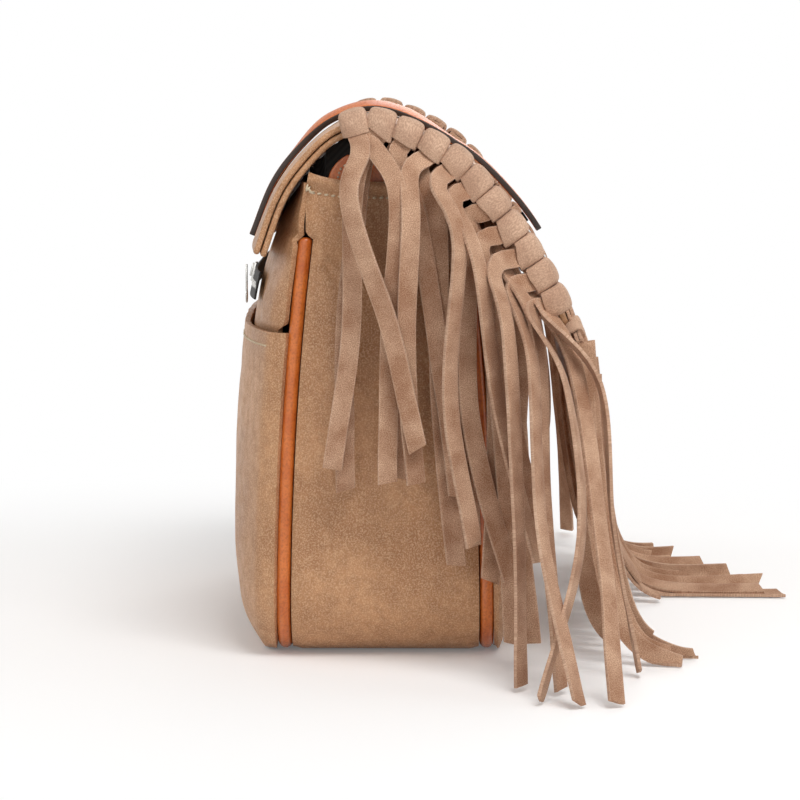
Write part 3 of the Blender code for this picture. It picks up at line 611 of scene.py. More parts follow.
def lining_surface(u, v):
    floor_level = LINING_INSET + 2 * GAP
    turn = -u * math.pi
    share = (v + 1) / 2
    wide = min(share / 0.25, 1.0)
    rise = max(share - 0.25, 0.0) / 0.75
    back = math.copysign(abs(math.sin(turn)) ** (2 / LINING_CORNER), math.sin(turn))
    end = smooth(0.66, 0.86, abs(math.cos(turn)) ** (2 / LINING_CORNER)) * smooth(-0.25, 0.25, back)
    corner = CORNER_TOP - CORNER_FALL * max(back * CORNER_DEPTH - CORNER_FLAT, 0.0) ** 2
    height = floor_level + (LINING_TOP + (corner - LINING_TOP) * end - floor_level) * rise ** 1.6
    reach = half_span(height, LINING_INSET) - 0.0004
    x = math.copysign(abs(math.cos(turn)) ** (2 / LINING_CORNER), math.cos(turn)) * reach
    peak, depth = (BACK_PEAK, BACK_BULGE) if math.sin(turn) > 0 else (FRONT_PEAK, FRONT_BULGE)
    wall = half_depth(height) + PIPING_RADIUS - GAP + 0.76 * bulge(x, height, peak, depth)
    wall -= LINING_TAKE_IN * smooth(PIPING_TOP, LINING_TOP, height)
    fold = LINING_FOLD * (1 + ripple(math.cos(turn) * 0.1, math.sin(turn) * 0.1, height * 0.3, 0.016))
    y = back * (wall - fold)
    return Vector((x * (1 - fold * 6) * wide, y * wide, height))


# Cotton twill: black, matt, with diagonal ribs 1.8 mm apart, coarser than real so that they show
black_cloth, tree, shader, spot = new_material("black cotton twill")
rib = add_node(tree, "ShaderNodeTexWave", {"bands_direction": "DIAGONAL"},
               {"Vector": spot, "Scale": 200, "Distortion": 0.6, "Detail": 1})
shade = mixed(tree, rib.outputs[1], linear("#161412"), linear("#2A2623"))
add_relief(tree, shader, rib.outputs[1], 0.25, 0.0003)
feed(tree, shader, {"Base Color": shade, "Roughness": 0.9, "Sheen Weight": 0.15})

mesh = grid_mesh("lining_cloth", lining_surface, 120, 60)
shape = bmesh.new()
shape.from_mesh(mesh)
bmesh.ops.remove_doubles(shape, verts=shape.verts[:], dist=1e-5)
bmesh.ops.recalc_face_normals(shape, faces=shape.faces[:])
shape.to_mesh(mesh)
shape.free()
lining = thicken(add_piece("lining_cloth", mesh, black_cloth), LINING, 0.0003)
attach(lining, "bag")
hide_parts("lining")

# Flap: two layers of khaki leather, each 2.6 mm, with turned and rounded edges and a dark groove
# between them. It is sewn to the back below the mouth, arches over the top and ends in a curve.
FLAP_OVERHANG = 0.003
FLAP_PROFILE = (
    (0.0555, 0.174), (0.0467, 0.1978), (0.0357, 0.2137), (0.022, 0.2259), (0.005, 0.2305),
    (-0.016, 0.223), (-0.0347, 0.2102), (-0.0524, 0.1885), (-0.065, 0.169), (-0.0755, 0.149),
    (-0.083, 0.125), (-0.0875, 0.092),
)
FLAP_SIDE = 0.199
FLAP_DIP = 0.050
FLAP_LAYER = 0.0026
LAYER_GAP = 0.0005
BACK_CROWN = 0.10
FRONT_CROWN = 0.03
FLAP_HALF = HALF_WIDTH + FLAP_OVERHANG
PROFILE_STEPS = 24


def spline_point(points, place):
    """Point on the smooth curve through the given points; place counts intervals."""
    index = min(int(place), len(points) - 2)
    t = place - index
    p1, p2 = points[index], points[index + 1]
    p0 = points[index - 1] if index else p1 * 2 - p2
    p3 = points[index + 2] if index + 2 < len(points) else p2 * 2 - p1
    return (p1 * 2 + (p2 - p0) * t + (p0 * 2 - p1 * 5 + p2 * 4 - p3) * t ** 2
            + (p1 * 3 - p0 - p2 * 3 + p3) * t ** 3) / 2


def running_lengths(points):
    """Length of the line through the points up to each of them."""
    return list(accumulate(((b - a).length for a, b in zip(points, points[1:])), initial=0.0))


profile = [Vector((0, y, z)) for y, z in FLAP_PROFILE]
profile = [spline_point(profile, i / PROFILE_STEPS) for i in range((len(profile) - 1) * PROFILE_STEPS + 1)]
profile_lengths = running_lengths(profile)


def profile_point(length):
    """Point on the flap's side profile, by its length from the back seam."""
    low, high = 0, len(profile) - 2
    while low < high:
        middle = (low + high) // 2
        if profile_lengths[middle + 1] >= length:
            high = middle
        else:
            low = middle + 1
    share = (length - profile_lengths[low]) / (profile_lengths[low + 1] - profile_lengths[low])
    return profile[low].lerp(profile[low + 1], share)


def flap_length(u):
    """Length of the flap from the back seam to its lower edge, at a share of its half width."""
    return FLAP_SIDE + FLAP_DIP * (1 - abs(u) ** 2.2)


def flap_face(u, length):
    """Point on the flap's outer face."""
    point = profile_point(length)
    crown = FRONT_CROWN + (BACK_CROWN - FRONT_CROWN) * smooth(-0.004, 0.004, point.y)
    return Vector((u * FLAP_HALF, point.y * (1 + crown * (1 - u * u)), point.z))


def flap_normal(u, length, step=0.0005):
    """Outward direction at a point of the flap."""
    low = max(length - step, 0.0)
    along = flap_face(u, low + 2 * step) - flap_face(u, low)
    across = flap_face(min(u + 0.01, 1), length) - flap_face(max(u - 0.01, -1), length)
    return along.cross(across).normalized()


def on_flap(u, length, height):
    """Point at a height above the flap's outer face."""
    return flap_face(u, length) + flap_normal(u, length) * height


def add_flap_layer(name, depth):
    """One of the flap's two layers; depth is how far its outer face lies below the flap's."""
    def surface(u, v):
        length = (v + 1) / 2 * flap_length(u)
        inner = (1 - u ** 8) * smooth(0.0, 0.02, length)
        soft = -0.0003 * (1 - ripple(u * FLAP_HALF, length, 3.0, 0.03)) * inner
        return on_flap(-u, length, soft - depth)

    made = add_piece(name, grid_mesh(name, surface, 96, 110), khaki_leather)
    return thicken(made, FLAP_LAYER, 0.00115, segments=4)


flap_outer = add_flap_layer("flap_outer_leather", 0.0)
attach(flap_outer, "flap")
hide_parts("flap_outer")
flap_inner = add_flap_layer("flap_lining_leather", FLAP_LAYER + LAYER_GAP)
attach(flap_inner, "flap")
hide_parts("flap_lining")

# Centre strap: a 30 mm strip of cognac leather with dark painted edges. It is sewn down from the
# back seam over the top, and its rounded front end is a free tongue that closes on the post.
STRAP_WIDTH = 0.030
STRAP_THICKNESS = 0.0028
STRAP_LENGTH = 0.172
STRAP_DOME = 0.0024           # it is lightly padded down its middle
DOME_RISE = (0.035, 0.062)    # lengths from the back seam
DOME_END = 0.092
TONGUE_LIFT = 0.0042
TONGUE_FREE = 0.054
TONGUE_START = STRAP_LENGTH - TONGUE_FREE


def strap_surface(u, v):
    straight = STRAP_LENGTH - STRAP_WIDTH / 2
    share = (v + 1) / 2
    length = STRAP_LENGTH * (1 - (1 - share) ** 1.25)
    lift = max(length - TONGUE_START, 0.0) / (STRAP_LENGTH - TONGUE_START)
    height = GAP + STRAP_THICKNESS + TONGUE_LIFT * math.sin(lift * math.pi / 2)
    domed = smooth(*DOME_RISE, length) * (1 - smooth(DOME_END, TONGUE_START, length))
    height += STRAP_DOME * (1 - u * u) * domed
    end = max(length - straight, 0.0) / (STRAP_WIDTH / 2)
    half = STRAP_WIDTH / 2 * math.sqrt(max(1 - (0.86 * end) ** 2, 0.0))
    return on_flap(-u * half / FLAP_HALF, length, height)


# Edge paint: a thick coat of near-black polish on the strap's cut edges, satin
edge_paint, tree, shader, spot = new_material("dark edge paint")
speck = cloudy(tree, spot, 600, 2)
shade = mixed(tree, speck, linear("#1F1612"), linear("#3A2A21"))
add_relief(tree, shader, speck, 0.2, 0.0003)
feed(tree, shader, {"Base Color": shade, "Roughness": 0.45})

# Waxed cognac leather: the same dye as the piping's, but satin and without its glaze
satin_cognac = cognac_leather.copy()
satin_cognac.name = "waxed cognac leather"
tree = satin_cognac.node_tree
feed(tree, tree.nodes["Principled BSDF"], {"Coat Weight": 0.0, "Specular IOR Level": 0.12})

strap = add_piece("centre_strap_leather", grid_mesh("centre_strap_leather", strap_surface, 20, 110),
                  satin_cognac, edge_paint)
thicken(strap, STRAP_THICKNESS, 0.0006, rim=1)
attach(strap, "flap")
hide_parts("centre_strap")

# Closure: a nickel plate riveted to the flap under the tongue, and the dark stud between the two
PLATE_LENGTH = 0.026
PLATE_WIDTH = 0.020
PLATE_THICKNESS = 0.0012
PLATE_LAP = 0.012
PLATE_STAND_OFF = 0.0006
PLATE_START = STRAP_LENGTH - PLATE_LAP
POST_RADIUS = 0.0025


def round_edges(shape, edges, offset, segments):
    bmesh.ops.bevel(shape, geom=edges, offset=offset, segments=segments, affect="EDGES", profile=0.5,
                    material=-1)


def surface_frame(u, length, height):
    """Placement on the flap: X across the bag, Y down along the flap, Z out of it."""
    out = flap_normal(u, length)
    across = Vector((1, 0, 0))
    across = (across - out * across.dot(out)).normalized()
    turn = Matrix((across, out.cross(across), out)).transposed().to_4x4()
    return Matrix.Translation(on_flap(u, length, height)) @ turn


# Nickel plated brass: bright, faintly warm, brushed fine, with a little dulling from handling
nickel, tree, shader, spot = new_material("brushed nickel plate")
streak = add_node(tree, "ShaderNodeMapping", None, {"Vector": spot, "Scale": (300, 2500, 2500)}).outputs[0]
brush = cloudy(tree, streak, 1, 2)
feed(tree, shader, {"Base Color": linear("#D2D0CC"), "Metallic": 1.0,
                    "Roughness": remap(tree, brush, 0, 1, 0.18, 0.38)})

# Blackened steel: nearly black, satin
black_steel, tree, shader, spot = new_material("blackened steel")
speck = cloudy(tree, spot, 1200, 2)
feed(tree, shader, {"Base Color": linear("#1B1917"), "Metallic": 0.6,
                    "Roughness": remap(tree, speck, 0, 1, 0.3, 0.5)})

plate_place = surface_frame(0, PLATE_START + PLATE_LENGTH / 2, GAP + PLATE_THICKNESS / 2 + PLATE_STAND_OFF)
shape = bmesh.new()
block = Matrix.Diagonal((PLATE_WIDTH, PLATE_LENGTH, PLATE_THICKNESS, 1))
bmesh.ops.create_cube(shape, size=1, matrix=block)
corners = [e for e in shape.edges if abs(e.verts[0].co.z - e.verts[1].co.z) > PLATE_THICKNESS / 2]
round_edges(shape, corners, 0.003, 6)
rims = [e for e in shape.edges if abs(e.verts[0].co.z - e.verts[1].co.z) < 1e-6]
round_edges(shape, rims, 0.0003, 2)
bmesh.ops.transform(shape, matrix=plate_place, verts=shape.verts)
plate = add_piece("closure_plate_nickel", mesh_of(shape, "closure_plate_nickel"), nickel)
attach(plate, "flap")
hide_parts("closure_plate")

post_length = PLATE_START + 1.6 * POST_RADIUS
post_low = PLATE_STAND_OFF + PLATE_THICKNESS + 3 * GAP
post_lift = (post_length - TONGUE_START) / (STRAP_LENGTH - TONGUE_START)
post_high = TONGUE_LIFT * math.sin(min(post_lift, 1.0) * math.pi / 2)
shape = bmesh.new()
bmesh.ops.create_cone(shape, cap_ends=True, segments=32, radius1=POST_RADIUS, radius2=POST_RADIUS,
                      depth=post_high - post_low,
                      matrix=surface_frame(0, post_length, (post_low + post_high) / 2))
rims = [e for e in shape.edges if any(len(f.verts) > 4 for f in e.link_faces)]
round_edges(shape, rims, 0.0003, 2)
post = add_piece("closure_post_steel", mesh_of(shape, "closure_post_steel"), black_steel)
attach(post, "flap")
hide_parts("closure_post")

# Back zip: black woven tape sewn to the back panel, two rows of nickel teeth 2 mm apart, and a
# nickel slider with a hanging pull that ends in a ring.
ZIP_LENGTH = 0.190
TAPE_HEIGHT = 0.012
TAPE_THICKNESS = 0.0009
TAPE_STAND_OFF = 0.0004
TOOTH = (0.0011, 0.00036, 0.0021)
TOOTH_PITCH = 0.0020
ZIP_HEIGHT = (POCKET_TOP + FLAP_PROFILE[0][1]) / 2 + GAP


def zip_point(x, height, out):
    """Point in front of the back wall where the zip is sewn on."""
    low, high = (panel_face(x, height + step, BACK_PEAK, BACK_BULGE) for step in (-0.004, 0.004))
    lean = Vector((0, 0.008, low - high)).normalized()
    face = panel_face(x, height, BACK_PEAK, BACK_BULGE) + TAPE_STAND_OFF + TAPE_THICKNESS
    return Vector((x, face, height)) + lean * out


def tape_surface(u, v):
    x = -u * ZIP_LENGTH / 2
    return zip_point(x, ZIP_HEIGHT + v * TAPE_HEIGHT / 2, 0)


tape = add_piece("zip_tape_cloth", grid_mesh("zip_tape_cloth", tape_surface, 80, 8), black_cloth)
thicken(tape, TAPE_THICKNESS, 0.0003)
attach(tape, "bag")
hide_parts("zip_tape")

slider_low, slider_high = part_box("zip_slider")
shape = bmesh.new()
for i in range(int(ZIP_LENGTH / TOOTH_PITCH) - 2):
    x = -ZIP_LENGTH / 2 + TOOTH_PITCH * (i + 1.5)
    side = 1 if i % 2 else -1
    block = Matrix.Diagonal((*TOOTH, 1))
    place = Matrix.Translation(zip_point(x, ZIP_HEIGHT + side * 0.0005, 0.00012))
    bmesh.ops.create_cube(shape, size=1, matrix=place @ block)
teeth = add_piece("zip_teeth", mesh_of(shape, "zip_teeth"), nickel)
teeth.data.shade_flat()
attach(teeth, "bag")


def add_block(shape, size, place, rounding, segments):
    """Rounded block of a cast piece."""
    matrix = Matrix.Translation(place) @ Matrix.Diagonal((*size, 1))
    verts = bmesh.ops.create_cube(shape, size=1, matrix=matrix)["verts"]
    edges = list({edge for vert in verts for edge in vert.link_edges})
    round_edges(shape, edges, rounding, segments)


# Slider body: a flat plate over the teeth with a narrow bridge on it that holds the pull. It leans
# back with the wall behind it.
SLIDER_BLOCKS = (             # size, place on the slider, rounding
    ((0.0070, 0.0014, 0.0090), (0, -0.0005, 0), 0.0005),
    ((0.0022, 0.0011, 0.0062), (0, 0.00072, 0.0006), 0.0004),
)
centre = (slider_low + slider_high) / 2
lean = math.atan2(panel_face(0, ZIP_HEIGHT - 0.006, BACK_PEAK, BACK_BULGE)
                  - panel_face(0, ZIP_HEIGHT + 0.006, BACK_PEAK, BACK_BULGE), 0.012)
slider_turn = Matrix.Translation(centre) @ Matrix.Rotation(lean, 4, "X")
shape = bmesh.new()
for size, place, rounding in SLIDER_BLOCKS:
    add_block(shape, size, place, rounding, 3)
bmesh.ops.transform(shape, matrix=slider_turn, verts=shape.verts)
slider = add_piece("zip_slider_nickel", mesh_of(shape, "zip_slider_nickel"), nickel)
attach(slider, "slider")
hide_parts("zip_slider")

# Pull: a flat neck and a round ring, cast in one. It hangs from the slider's bridge, close to the
# back wall.
PULL_RING = 0.0027
PULL_WIRE = 0.0007
PULL_NECK = (0.0026, 0.0010)
pull_low, pull_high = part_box("zip_pull")
pull_centre = (pull_low + pull_high) / 2
ring_centre = Vector((pull_centre.x, pull_centre.y, pull_low.z + PULL_RING + PULL_WIRE))
neck_low = ring_centre.z + PULL_RING - 0.0002
neck = (neck_low + pull_high.z) / 2
shape = bmesh.new()
circle = bmesh.ops.create_circle(shape, segments=10, radius=1)["verts"]
for vert in circle:
    vert.co = ring_centre + Vector((PULL_RING + vert.co.x * PULL_WIRE, vert.co.y * 0.0005, 0))
bmesh.ops.spin(shape, geom=shape.edges[:] + shape.verts[:], cent=ring_centre, axis=Vector((0, 1, 0)),
               angle=2 * math.pi, steps=32, use_merge=True)
bmesh.ops.recalc_face_normals(shape, faces=shape.faces[:])
add_block(shape, (*PULL_NECK, pull_high.z - neck_low), (pull_centre.x, pull_centre.y, neck), 0.0003, 2)
pull = add_piece("zip_pull_nickel", mesh_of(shape, "zip_pull_nickel"), nickel)
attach(pull, "pull")
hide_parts("zip_pull")

# Strap tabs: a rounded piece of cognac leather inside each mouth end, where a shoulder strap is
# anchored. Each is sewn round its edge with cream thread.
TAB_WIDTH = 0.040
TAB_CENTRE = 0.004
TAB_LOW = 0.186
TAB_HIGH = 0.215
TAB_THICKNESS = 0.0028
SEAM_RISE = (0.30, 0.42, 0.54, 0.66)
seam = [(-0.80, v) for v in SEAM_RISE] + [(u / 10 * 0.72, 0.76) for u in range(-9, 10, 2)]
seam += [(0.80, v) for v in reversed(SEAM_RISE)]


def tab_point(side, u, v, out=0.0):
    """Point on a tab's outer face, which shows above the hem."""
    share = (v + 1) / 2
    rounding = math.sqrt(1 - (0.8 * max(share - 0.6, 0.0) / 0.4) ** 2)
    height = TAB_LOW + share * (TAB_HIGH - TAB_LOW)
    face = HALF_WIDTH - WALL - GAP
    return Vector((side * (face + out), TAB_CENTRE + side * u * TAB_WIDTH / 2 * rounding, height))


for name, side in (("near", -1), ("far", 1)):
    mesh = grid_mesh(f"strap_tab_{name}_leather", lambda u, v: tab_point(side, u, v), 24, 24)
    tab = add_piece(f"strap_tab_{name}_leather", mesh, cognac_leather, edge_paint)
    thicken(tab, TAB_THICKNESS, 0.0008)
    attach(tab, "bag")
    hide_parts(f"strap_tab_{name}")
    places = [tab_point(side, u, v, THREAD * 0.4) for u, v in seam]
    steps = zip(places, places[1:])
    stitches = [((a + b) / 2, (b - a).normalized(), (b - a).length * 0.72) for a, b in steps]
    mesh = stitch_mesh(f"strap_tab_{name}_stitches", stitches)
    tab_stitches = add_piece(f"strap_tab_{name}_stitches", mesh, cream_thread)
    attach(tab_stitches, "bag")

# Fringe: 43 laces of soft suede, 8 mm wide, cut off nearly square. Each is pulled through a slot near the
# flap's edge, its two strands go out over the edge under a band of the same lace and hang free.
# On the sides they fall outside the bag; along the front their ends lie out on the ground.
LACE_WIDTH = 0.0080
LACE_THICKNESS = 0.0014
LACE_SPACING = 0.0016
LACE_ROOT = 0.0095
LACE_EXIT = 0.0066
SIDE_KNOTS = 11
SIDE_PITCH = 0.0120
CORNER_INSET = 0.0060
FRONT_KNOTS = 21
FRONT_INSET = 0.15
LAYER_STEP = 0.0024
FIRST_LAYER = 0.0100
FALL_DROP = 0.0135
FALL_SHARE = 0.35
TAIL_HIGH = 0.034
# Two rows for each side knot, one for each strand: the strand's places along the bag's depth high up,
# in the middle and at its tip, the tip's height, how far it splays out, and its layer in the crossing
SIDE_TAILS = (
    ((0.014, -0.002, -0.014, 0.095, 0.002, 8), (-0.006, -0.002, -0.002, 0.080, 0.000, 6)),
    ((0.013, 0.014, 0.022, 0.085, 0.000, 3), (0.011, 0.017, 0.016, 0.075, 0.000, 0)),
    ((-0.007, -0.006, -0.009, 0.080, 0.000, 1), (-0.013, -0.023, -0.031, 0.073, 0.000, 3)),
    ((-0.011, -0.009, -0.013, 0.080, 0.000, 7), (-0.022, -0.023, -0.030, 0.044, 0.000, 2)),
    ((-0.031, -0.027, -0.037, 0.056, 0.002, 9), (-0.030, -0.035, -0.037, 0.051, 0.000, 0)),
    ((-0.039, -0.048, -0.064, 0.048, 0.003, 8), (-0.034, -0.036, -0.053, 0.039, 0.002, 3)),
    ((-0.044, -0.047, -0.044, 0.037, 0.001, 1), (-0.042, -0.050, -0.054, 0.011, 0.002, 2)),
    ((-0.046, -0.054, -0.066, 0.053, 0.002, 6), (-0.057, -0.055, -0.062, 0.010, 0.000, 0)),
    ((-0.051, -0.055, -0.056, 0.002, 0.030, 9), (-0.063, -0.066, -0.072, 0.002, 0.049, 4)),
    ((-0.061, -0.064, -0.078, 0.002, 0.070, 7), (-0.078, -0.088, -0.093, 0.002, 0.082, 1)),
    ((-0.075, -0.080, -0.063, 0.002, 0.058, 9), (-0.089, -0.095, -0.106, 0.002, 0.004, 7)),
)
FRONT_REACH = 0.085
TOE_HEIGHT = 0.022            # below it a front strand turns out over the ground
FRONT_LEAN = 0.020
SHORT_LEAN = 0.006            # for the laces that end where they reach the ground
FRONT_FAN = 0.20
FRONT_SWAY = 0.0022
GROUND_CLEAR = 0.0007
BAND_ARCH = ((-5.1, -1.8), (-5.25, 0.3), (-5.2, 2.3), (-4.5, 3.7), (-2.3, 4.3), (0, 4.45), (2.3, 4.3),
             (4.5, 3.7), (5.2, 2.3), (5.25, 0.3), (5.1, -1.8))
TAIL_STEPS = (4, 3, 4, 8, 13, 13)
TURN_START = 0.0062           # where the strands begin to turn down outside the flap's edge
TURN_RADIUS = 0.0026
TURN_SLOPE = 0.15             # share of the way out to its layer that a tail has gone below the band
LAYER_SLOPE = 0.055           # what each layer further out adds to that share
BAND_ROOT = 0.0030            # from the flap's edge in to the band's inner rim
BAND_FALL = 0.0036            # how far the band follows the strands down
FRONT_SHARES = (
    (0.52, 0.34), (0.60, 0.20), (0.10, 0.04), (0.05, 0.10), (0.03, 0.08), (0.09, 0.04), (0.05, 0.08),
    (0.08, 0.03), (0.04, 0.09), (0.08, 0.05), (0.14, 0.06), (0.24, 0.10), (0.92, 0.80), (0.86, 0.93),
    (0.72, 0.46), (0.40, 0.74), (0.62, 0.34), (0.36, 0.66), (0.70, 0.44), (0.46, 0.72), (0.80, 0.60),
)                             # how much of its full length on the ground each front strand has
FRONT_SWEEP = (
    -0.012, 0.006, *(0.0,) * 10, -0.004, 0.006, 0.010, 0.004, 0.012, 0.006, 0.014, 0.008, 0.016,
)                             # how far each front lace bends aside on the ground


def edge_frame(point_at, place, step, outward):
    """Knot's origin on the flap's edge, and the directions along the edge, outwards and up."""
    u, length = point_at(place)
    origin = flap_face(u, length)
    along = (flap_face(*point_at(place + step)) - flap_face(*point_at(place - step))).normalized()
    up = flap_normal(u, length)
    along = (along - up * along.dot(up)).normalized()
    out = along.cross(up)
    return origin, along, out if out.dot(outward) > 0 else -out, up


def front_places():
    """Even places along the front edge, from one corner to the other, as shares of the half width."""
    shares = [-1 + i / 100 for i in range(201)]
    lengths = running_lengths([flap_face(u, flap_length(u)) for u in shares])
    pitch = lengths[-1] / (FRONT_KNOTS + 1 + 2 * FRONT_INSET)
    goals = [pitch * (i + 1 + FRONT_INSET) for i in range(FRONT_KNOTS)]
    return [next(u for u, length in zip(shares, lengths) if length >= goal) for goal in goals]


def turned(place, height, angle):
    """Point of a strand at a height above the flap, where it has turned down by an angle."""
    origin, _, out, up = place
    radius = TURN_RADIUS + height
    return (origin + out * (TURN_START + radius * math.sin(angle))
            + up * (radius * math.cos(angle) - TURN_RADIUS))


def side_tail(place, side, row, height):
    """Centre line of a tail that falls outside the end of the bag."""
    high_y, middle_y, tip_y, tip_z, splay, layer = row
    origin, _, out, up = place
    reach = FIRST_LAYER + layer * LAYER_STEP
    near = TURN_START + TURN_RADIUS + height
    rim = origin + out * near - up * (TURN_RADIUS + BAND_FALL)
    fall = origin + out * (near + (reach - near) * (TURN_SLOPE + layer * LAYER_SLOPE)) - up * FALL_DROP
    fall.y += (high_y - origin.y) * FALL_SHARE
    x = side * (FLAP_HALF + reach)
    high = Vector((x + side * splay * 0.10, high_y, origin.z - TAIL_HIGH))
    tip = Vector((x + side * splay, tip_y, tip_z))
    middle = Vector((high.x + (tip.x - high.x) * 0.46, middle_y, (high.z + tip.z) / 2))
    return [turned(place, height, 0), turned(place, height, math.pi / 3), rim, fall, high, middle, tip]


def front_tail(place, index, strand, height):
    """Centre line of a tail that falls in front of the bag and lies out on the ground."""
    origin, _, out, up = place
    sway = FRONT_SWAY * math.sin(2.1 * index + 1.3 * strand)
    spread = origin.x * FRONT_FAN
    outer = strand * LAYER_STEP
    ground = GROUND_CLEAR + LACE_THICKNESS / 2 + strand * LAYER_STEP
    lean = FRONT_LEAN if max(FRONT_SHARES[index]) > 0.15 else SHORT_LEAN
    edge = abs(origin.x) / FLAP_HALF
    reach = FRONT_REACH * (1 - 0.42 * edge ** 2) + 0.012 * math.sin(3.7 * index + 2.0 * strand)

    def at(drop, forward, wide):
        return Vector((origin.x + spread * wide + sway * wide, origin.y - forward - outer, drop))

    start = origin + out * LACE_EXIT + up * height
    below = origin + out * (LACE_EXIT + LACE_WIDTH) + up * height
    heel = at(0.020, lean, 0.65)
    floor_near = Vector((heel.x + spread * 0.12, heel.y - 0.022 + outer, ground + 0.0006))
    floor_far = Vector((heel.x + spread * 0.35, heel.y - reach + outer, ground))
    return [start, start.lerp(below, 0.5), below, at(origin.z * 0.52, lean * 0.45, 0.35), heel, floor_near,
            floor_far]


def cut_and_bend(stations, share, sweep):
    """Shortens a front strand to a share of its reach on the ground, and bends it aside there."""
    toe = min(i for i, station in enumerate(stations) if station[0].z < TOE_HEIGHT)
    start, reach = stations[toe][0].y, stations[toe][0].y - stations[-1][0].y
    kept = [station for station in stations
            if start - station[0].y <= reach * share or station[0].z > TOE_HEIGHT]
    bent = []
    for point, across, face, length in kept:
        far = max(start - point.y, 0.0) / reach
        turn = Matrix.Rotation(-2 * sweep / reach * far, 3, "Z")
        bent.append((point + Vector((sweep * far ** 2, 0, 0)), turn @ across, turn @ face, length))
    return bent


def strand_line(place, tail, height, seed, strand):
    """Stations of one strand from its slot over the edge to its tip: point, width and face direction."""
    origin, along, out, up = place
    dip = LACE_ROOT + (0.0012 if strand else -0.0008)
    points = [origin - out * dip + up * (height - 0.0030)]
    points.append(origin - out * (dip - 0.0009) + up * (height - 0.0008))
    start = 0.0022 - dip                 # where it leaves its slot
    edge = (tail[0] - origin).dot(out)
    points += [origin + out * (start + (edge - start) * i / 4) + up * height for i in range(4)]
    points.append(tail[0])
    for index, count in enumerate(TAIL_STEPS):
        points += [spline_point(tail, index + (i + 1) / count) for i in range(count)]
    stations = []
    width = along
    length = 0.0
    first = len(points) - sum(TAIL_STEPS) - 1
    for i, point in enumerate(points):
        step = (points[min(i + 1, len(points) - 1)] - points[max(i - 1, 0)]).normalized()
        width = (width - step * width.dot(step)).normalized()
        length += (point - points[i - 1]).length if i else 0.0
        free = smooth(first + 8, len(points) - 1, i) * smooth(0.004, 0.030, point.z)
        turn = math.radians(8) * free * math.sin(seed * 2.4 + i * 0.16)
        across = Matrix.Rotation(turn, 3, step) @ width
        sway = 0.0007 * free * ripple(seed * 3.1, length, 0.0, 0.050)
        stations.append((point + across * sway, across, across.cross(step), length))
    return stations


def map_nap(layer, marks, place):
    """Lays the suede's nap over the faces of a ribbon or band, in metres from its marks."""
    for face in {face for vert in marks for face in vert.link_faces}:
        for corner in face.loops:
            corner[layer].uv = place(*marks[corner.vert])


def add_ribbon(shape, layer, stations, seed):
    """Flat lace along its stations, gently cupped, with a slanting cut at its end."""
    rows = len(stations) - 1
    slant = 0.0014 * math.sin(seed * 1.7)
    verts = bmesh.ops.create_grid(shape, x_segments=4, y_segments=rows, size=1)["verts"]
    marks = {vert: (vert.co.x, round((vert.co.y + 1) / 2 * rows)) for vert in verts}
    for vert, (u, row) in marks.items():
        point, across, face, length = stations[row]
        half = LACE_WIDTH / 2 * (1 + 0.03 * ripple(seed, length, u, 0.02))
        cup = 0.00022 * math.sin(seed * 5.3 + length * 40) * (1 - u * u)
        vert.co = point + across * u * half + face * cup
        if row == rows:
            vert.co += (point - stations[row - 1][0]).normalized() * u * slant
        vert.co.z = max(vert.co.z, LACE_THICKNESS / 2 + 0.0002)
    map_nap(layer, marks, lambda u, row: (u * LACE_WIDTH / 2, stations[row][3] + seed * 0.37))


def add_band(shape, layer, place, seed, end):
    """Band of the knot: it arches over both strands and follows them down outside the flap's edge."""
    origin, along, out, up = place
    arch = [Vector((a, b, 0)) * 0.001 for a, b in BAND_ARCH]
    arc = TURN_RADIUS * math.pi / 2
    flat = TURN_START + BAND_ROOT
    slant = 0.0009 + 0.0007 * math.sin(seed * 1.9)
    columns, rows = 18, 24
    verts = bmesh.ops.create_grid(shape, x_segments=columns, y_segments=rows, size=1)["verts"]
    marks = {vert: (vert.co.x, vert.co.y) for vert in verts}
    for vert, (u, v) in marks.items():
        spot = spline_point(arch, (v + 1) / 2 * (len(arch) - 1))
        along_strand = (u + 1) / 2 * (flat + end) + 0.0009 * ripple(seed, v * 0.5, 0.0, 0.4)
        along_strand += slant * u * spot.x / 0.0051
        puff = 1 - 0.08 * u * u + 0.07 * ripple(seed, u * 0.5, v * 0.4, 0.5)
        puff -= 0.13 * math.exp(-((u - 0.1 - 0.5 * v * math.copysign(1, slant)) / 0.13) ** 2)
        height = spot.y * puff if spot.y > 0 else spot.y
        if along_strand < flat:
            across = along_strand - BAND_ROOT
            height = max(height, LACE_THICKNESS / 2 + GAP - 0.003 * smooth(-0.0002, 0.0008, across))
            base, normal = out * across, up
        else:
            turn = min((along_strand - flat) / TURN_RADIUS, math.pi / 2)
            normal = out * math.sin(turn) + up * math.cos(turn)
            base = out * TURN_START - up * TURN_RADIUS + normal * TURN_RADIUS
            base -= up * max(along_strand - flat - arc, 0.0)
        vert.co = origin + along * spot.x + base + normal * height
    map_nap(layer, marks, lambda u, v: (0.05 + u * 0.0085, v * 0.0085 + seed * 0.91))


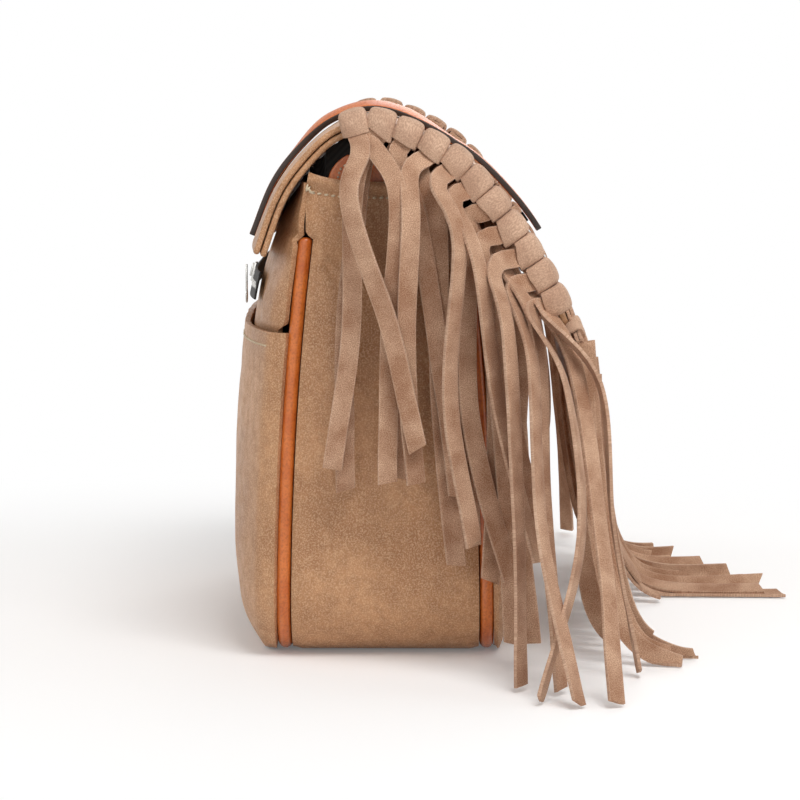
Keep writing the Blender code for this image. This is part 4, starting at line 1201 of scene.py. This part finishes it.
# Split suede: pinkish taupe, quite matt, with a short nap that catches the light in specks of about
# half a millimetre, cloudy patches where it was stroked, and paler fibres along the cut edges
suede, tree, shader, spot = new_material("split suede")
flat = add_node(tree, "ShaderNodeUVMap", {"uv_map": "nap"}).outputs[0]
fibre = add_node(tree, "ShaderNodeMapping", None, {"Vector": flat, "Scale": (2300, 2100, 1)}).outputs[0]
nap = cloudy(tree, fibre, 1, 3, 0.65)
cloud = cloudy(tree, spot, 75, 3)
wide = remap(tree, cloud, 0.36, 0.64)
tint = mixed(tree, wide, linear("#B58C70"), linear("#D8B498"))
fine = remap(tree, nap, 0.38, 0.60)
tint = mixed(tree, fine, tint, linear("#C6B5A9"), "MULTIPLY")
ends = add_node(tree, "ShaderNodeSeparateXYZ", None, {0: flat})
pale = remap(tree, figure(tree, "ABSOLUTE", ends.outputs[0]), 0.0034, 0.0041, 0, 0.25)
tint = mixed(tree, pale, tint, linear("#E0C4AE"))
add_relief(tree, shader, nap, 0.5, 0.0004)
feed(tree, shader, {"Base Color": tint, "Roughness": 0.95, "Specular IOR Level": 0.25, "Sheen Weight": 0.25,
                    "Sheen Roughness": 0.45, "Sheen Tint": linear("#E8D3C2")})


def add_lace(name, place, lines, band_end, seed):
    """One lace with its two strands and the band of its knot."""
    shape = bmesh.new()
    layer = shape.loops.layers.uv.new("nap")
    for strand, line in enumerate(lines):
        add_ribbon(shape, layer, line, seed + 0.5 * strand)
    add_band(shape, layer, place, seed, band_end)
    lace = add_piece(name + "_suede", mesh_of(shape, name + "_suede"), suede)
    thicken(lace, LACE_THICKNESS, 0.0004, offset=0.0, segments=2)
    lace.modifiers["Thickness"].use_even_offset = False
    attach(lace, "flap")
    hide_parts(name)


low_strand = GAP + LACE_THICKNESS / 2
heights = (low_strand, low_strand + LACE_SPACING)
for side, label in ((-1, "near"), (1, "far")):
    for index, rows in enumerate(SIDE_TAILS):
        seed = index + 20 * side
        length = FLAP_SIDE - CORNER_INSET - (SIDE_KNOTS - 1 - index) * SIDE_PITCH
        place = edge_frame(lambda s: (side, s), length, 0.001, Vector((side, 0, 0)))
        lines = []
        for strand, (row, height) in enumerate(zip(sorted(rows, key=lambda row: row[5]), heights)):
            tail = side_tail(place, side, row, height)
            lines.append(strand_line(place, tail, height, seed + strand / 2, strand))
        add_lace(f"lace_{label}_{index + 1:02d}", place, lines, TURN_RADIUS * math.pi / 2 + BAND_FALL, seed)
for index, u in enumerate(front_places()):
    place = edge_frame(lambda v: (v, flap_length(v)), u, 0.004, Vector((0, 0, -1)))
    lines = []
    for strand, height in enumerate(heights):
        tail = front_tail(place, index, strand, height)
        line = strand_line(place, tail, height, index + 50 + strand / 2, strand)
        lines.append(cut_and_bend(line, FRONT_SHARES[index][strand], FRONT_SWEEP[index]))
    add_lace(f"lace_front_{index + 1:02d}", place, lines, 0.0, index + 50)
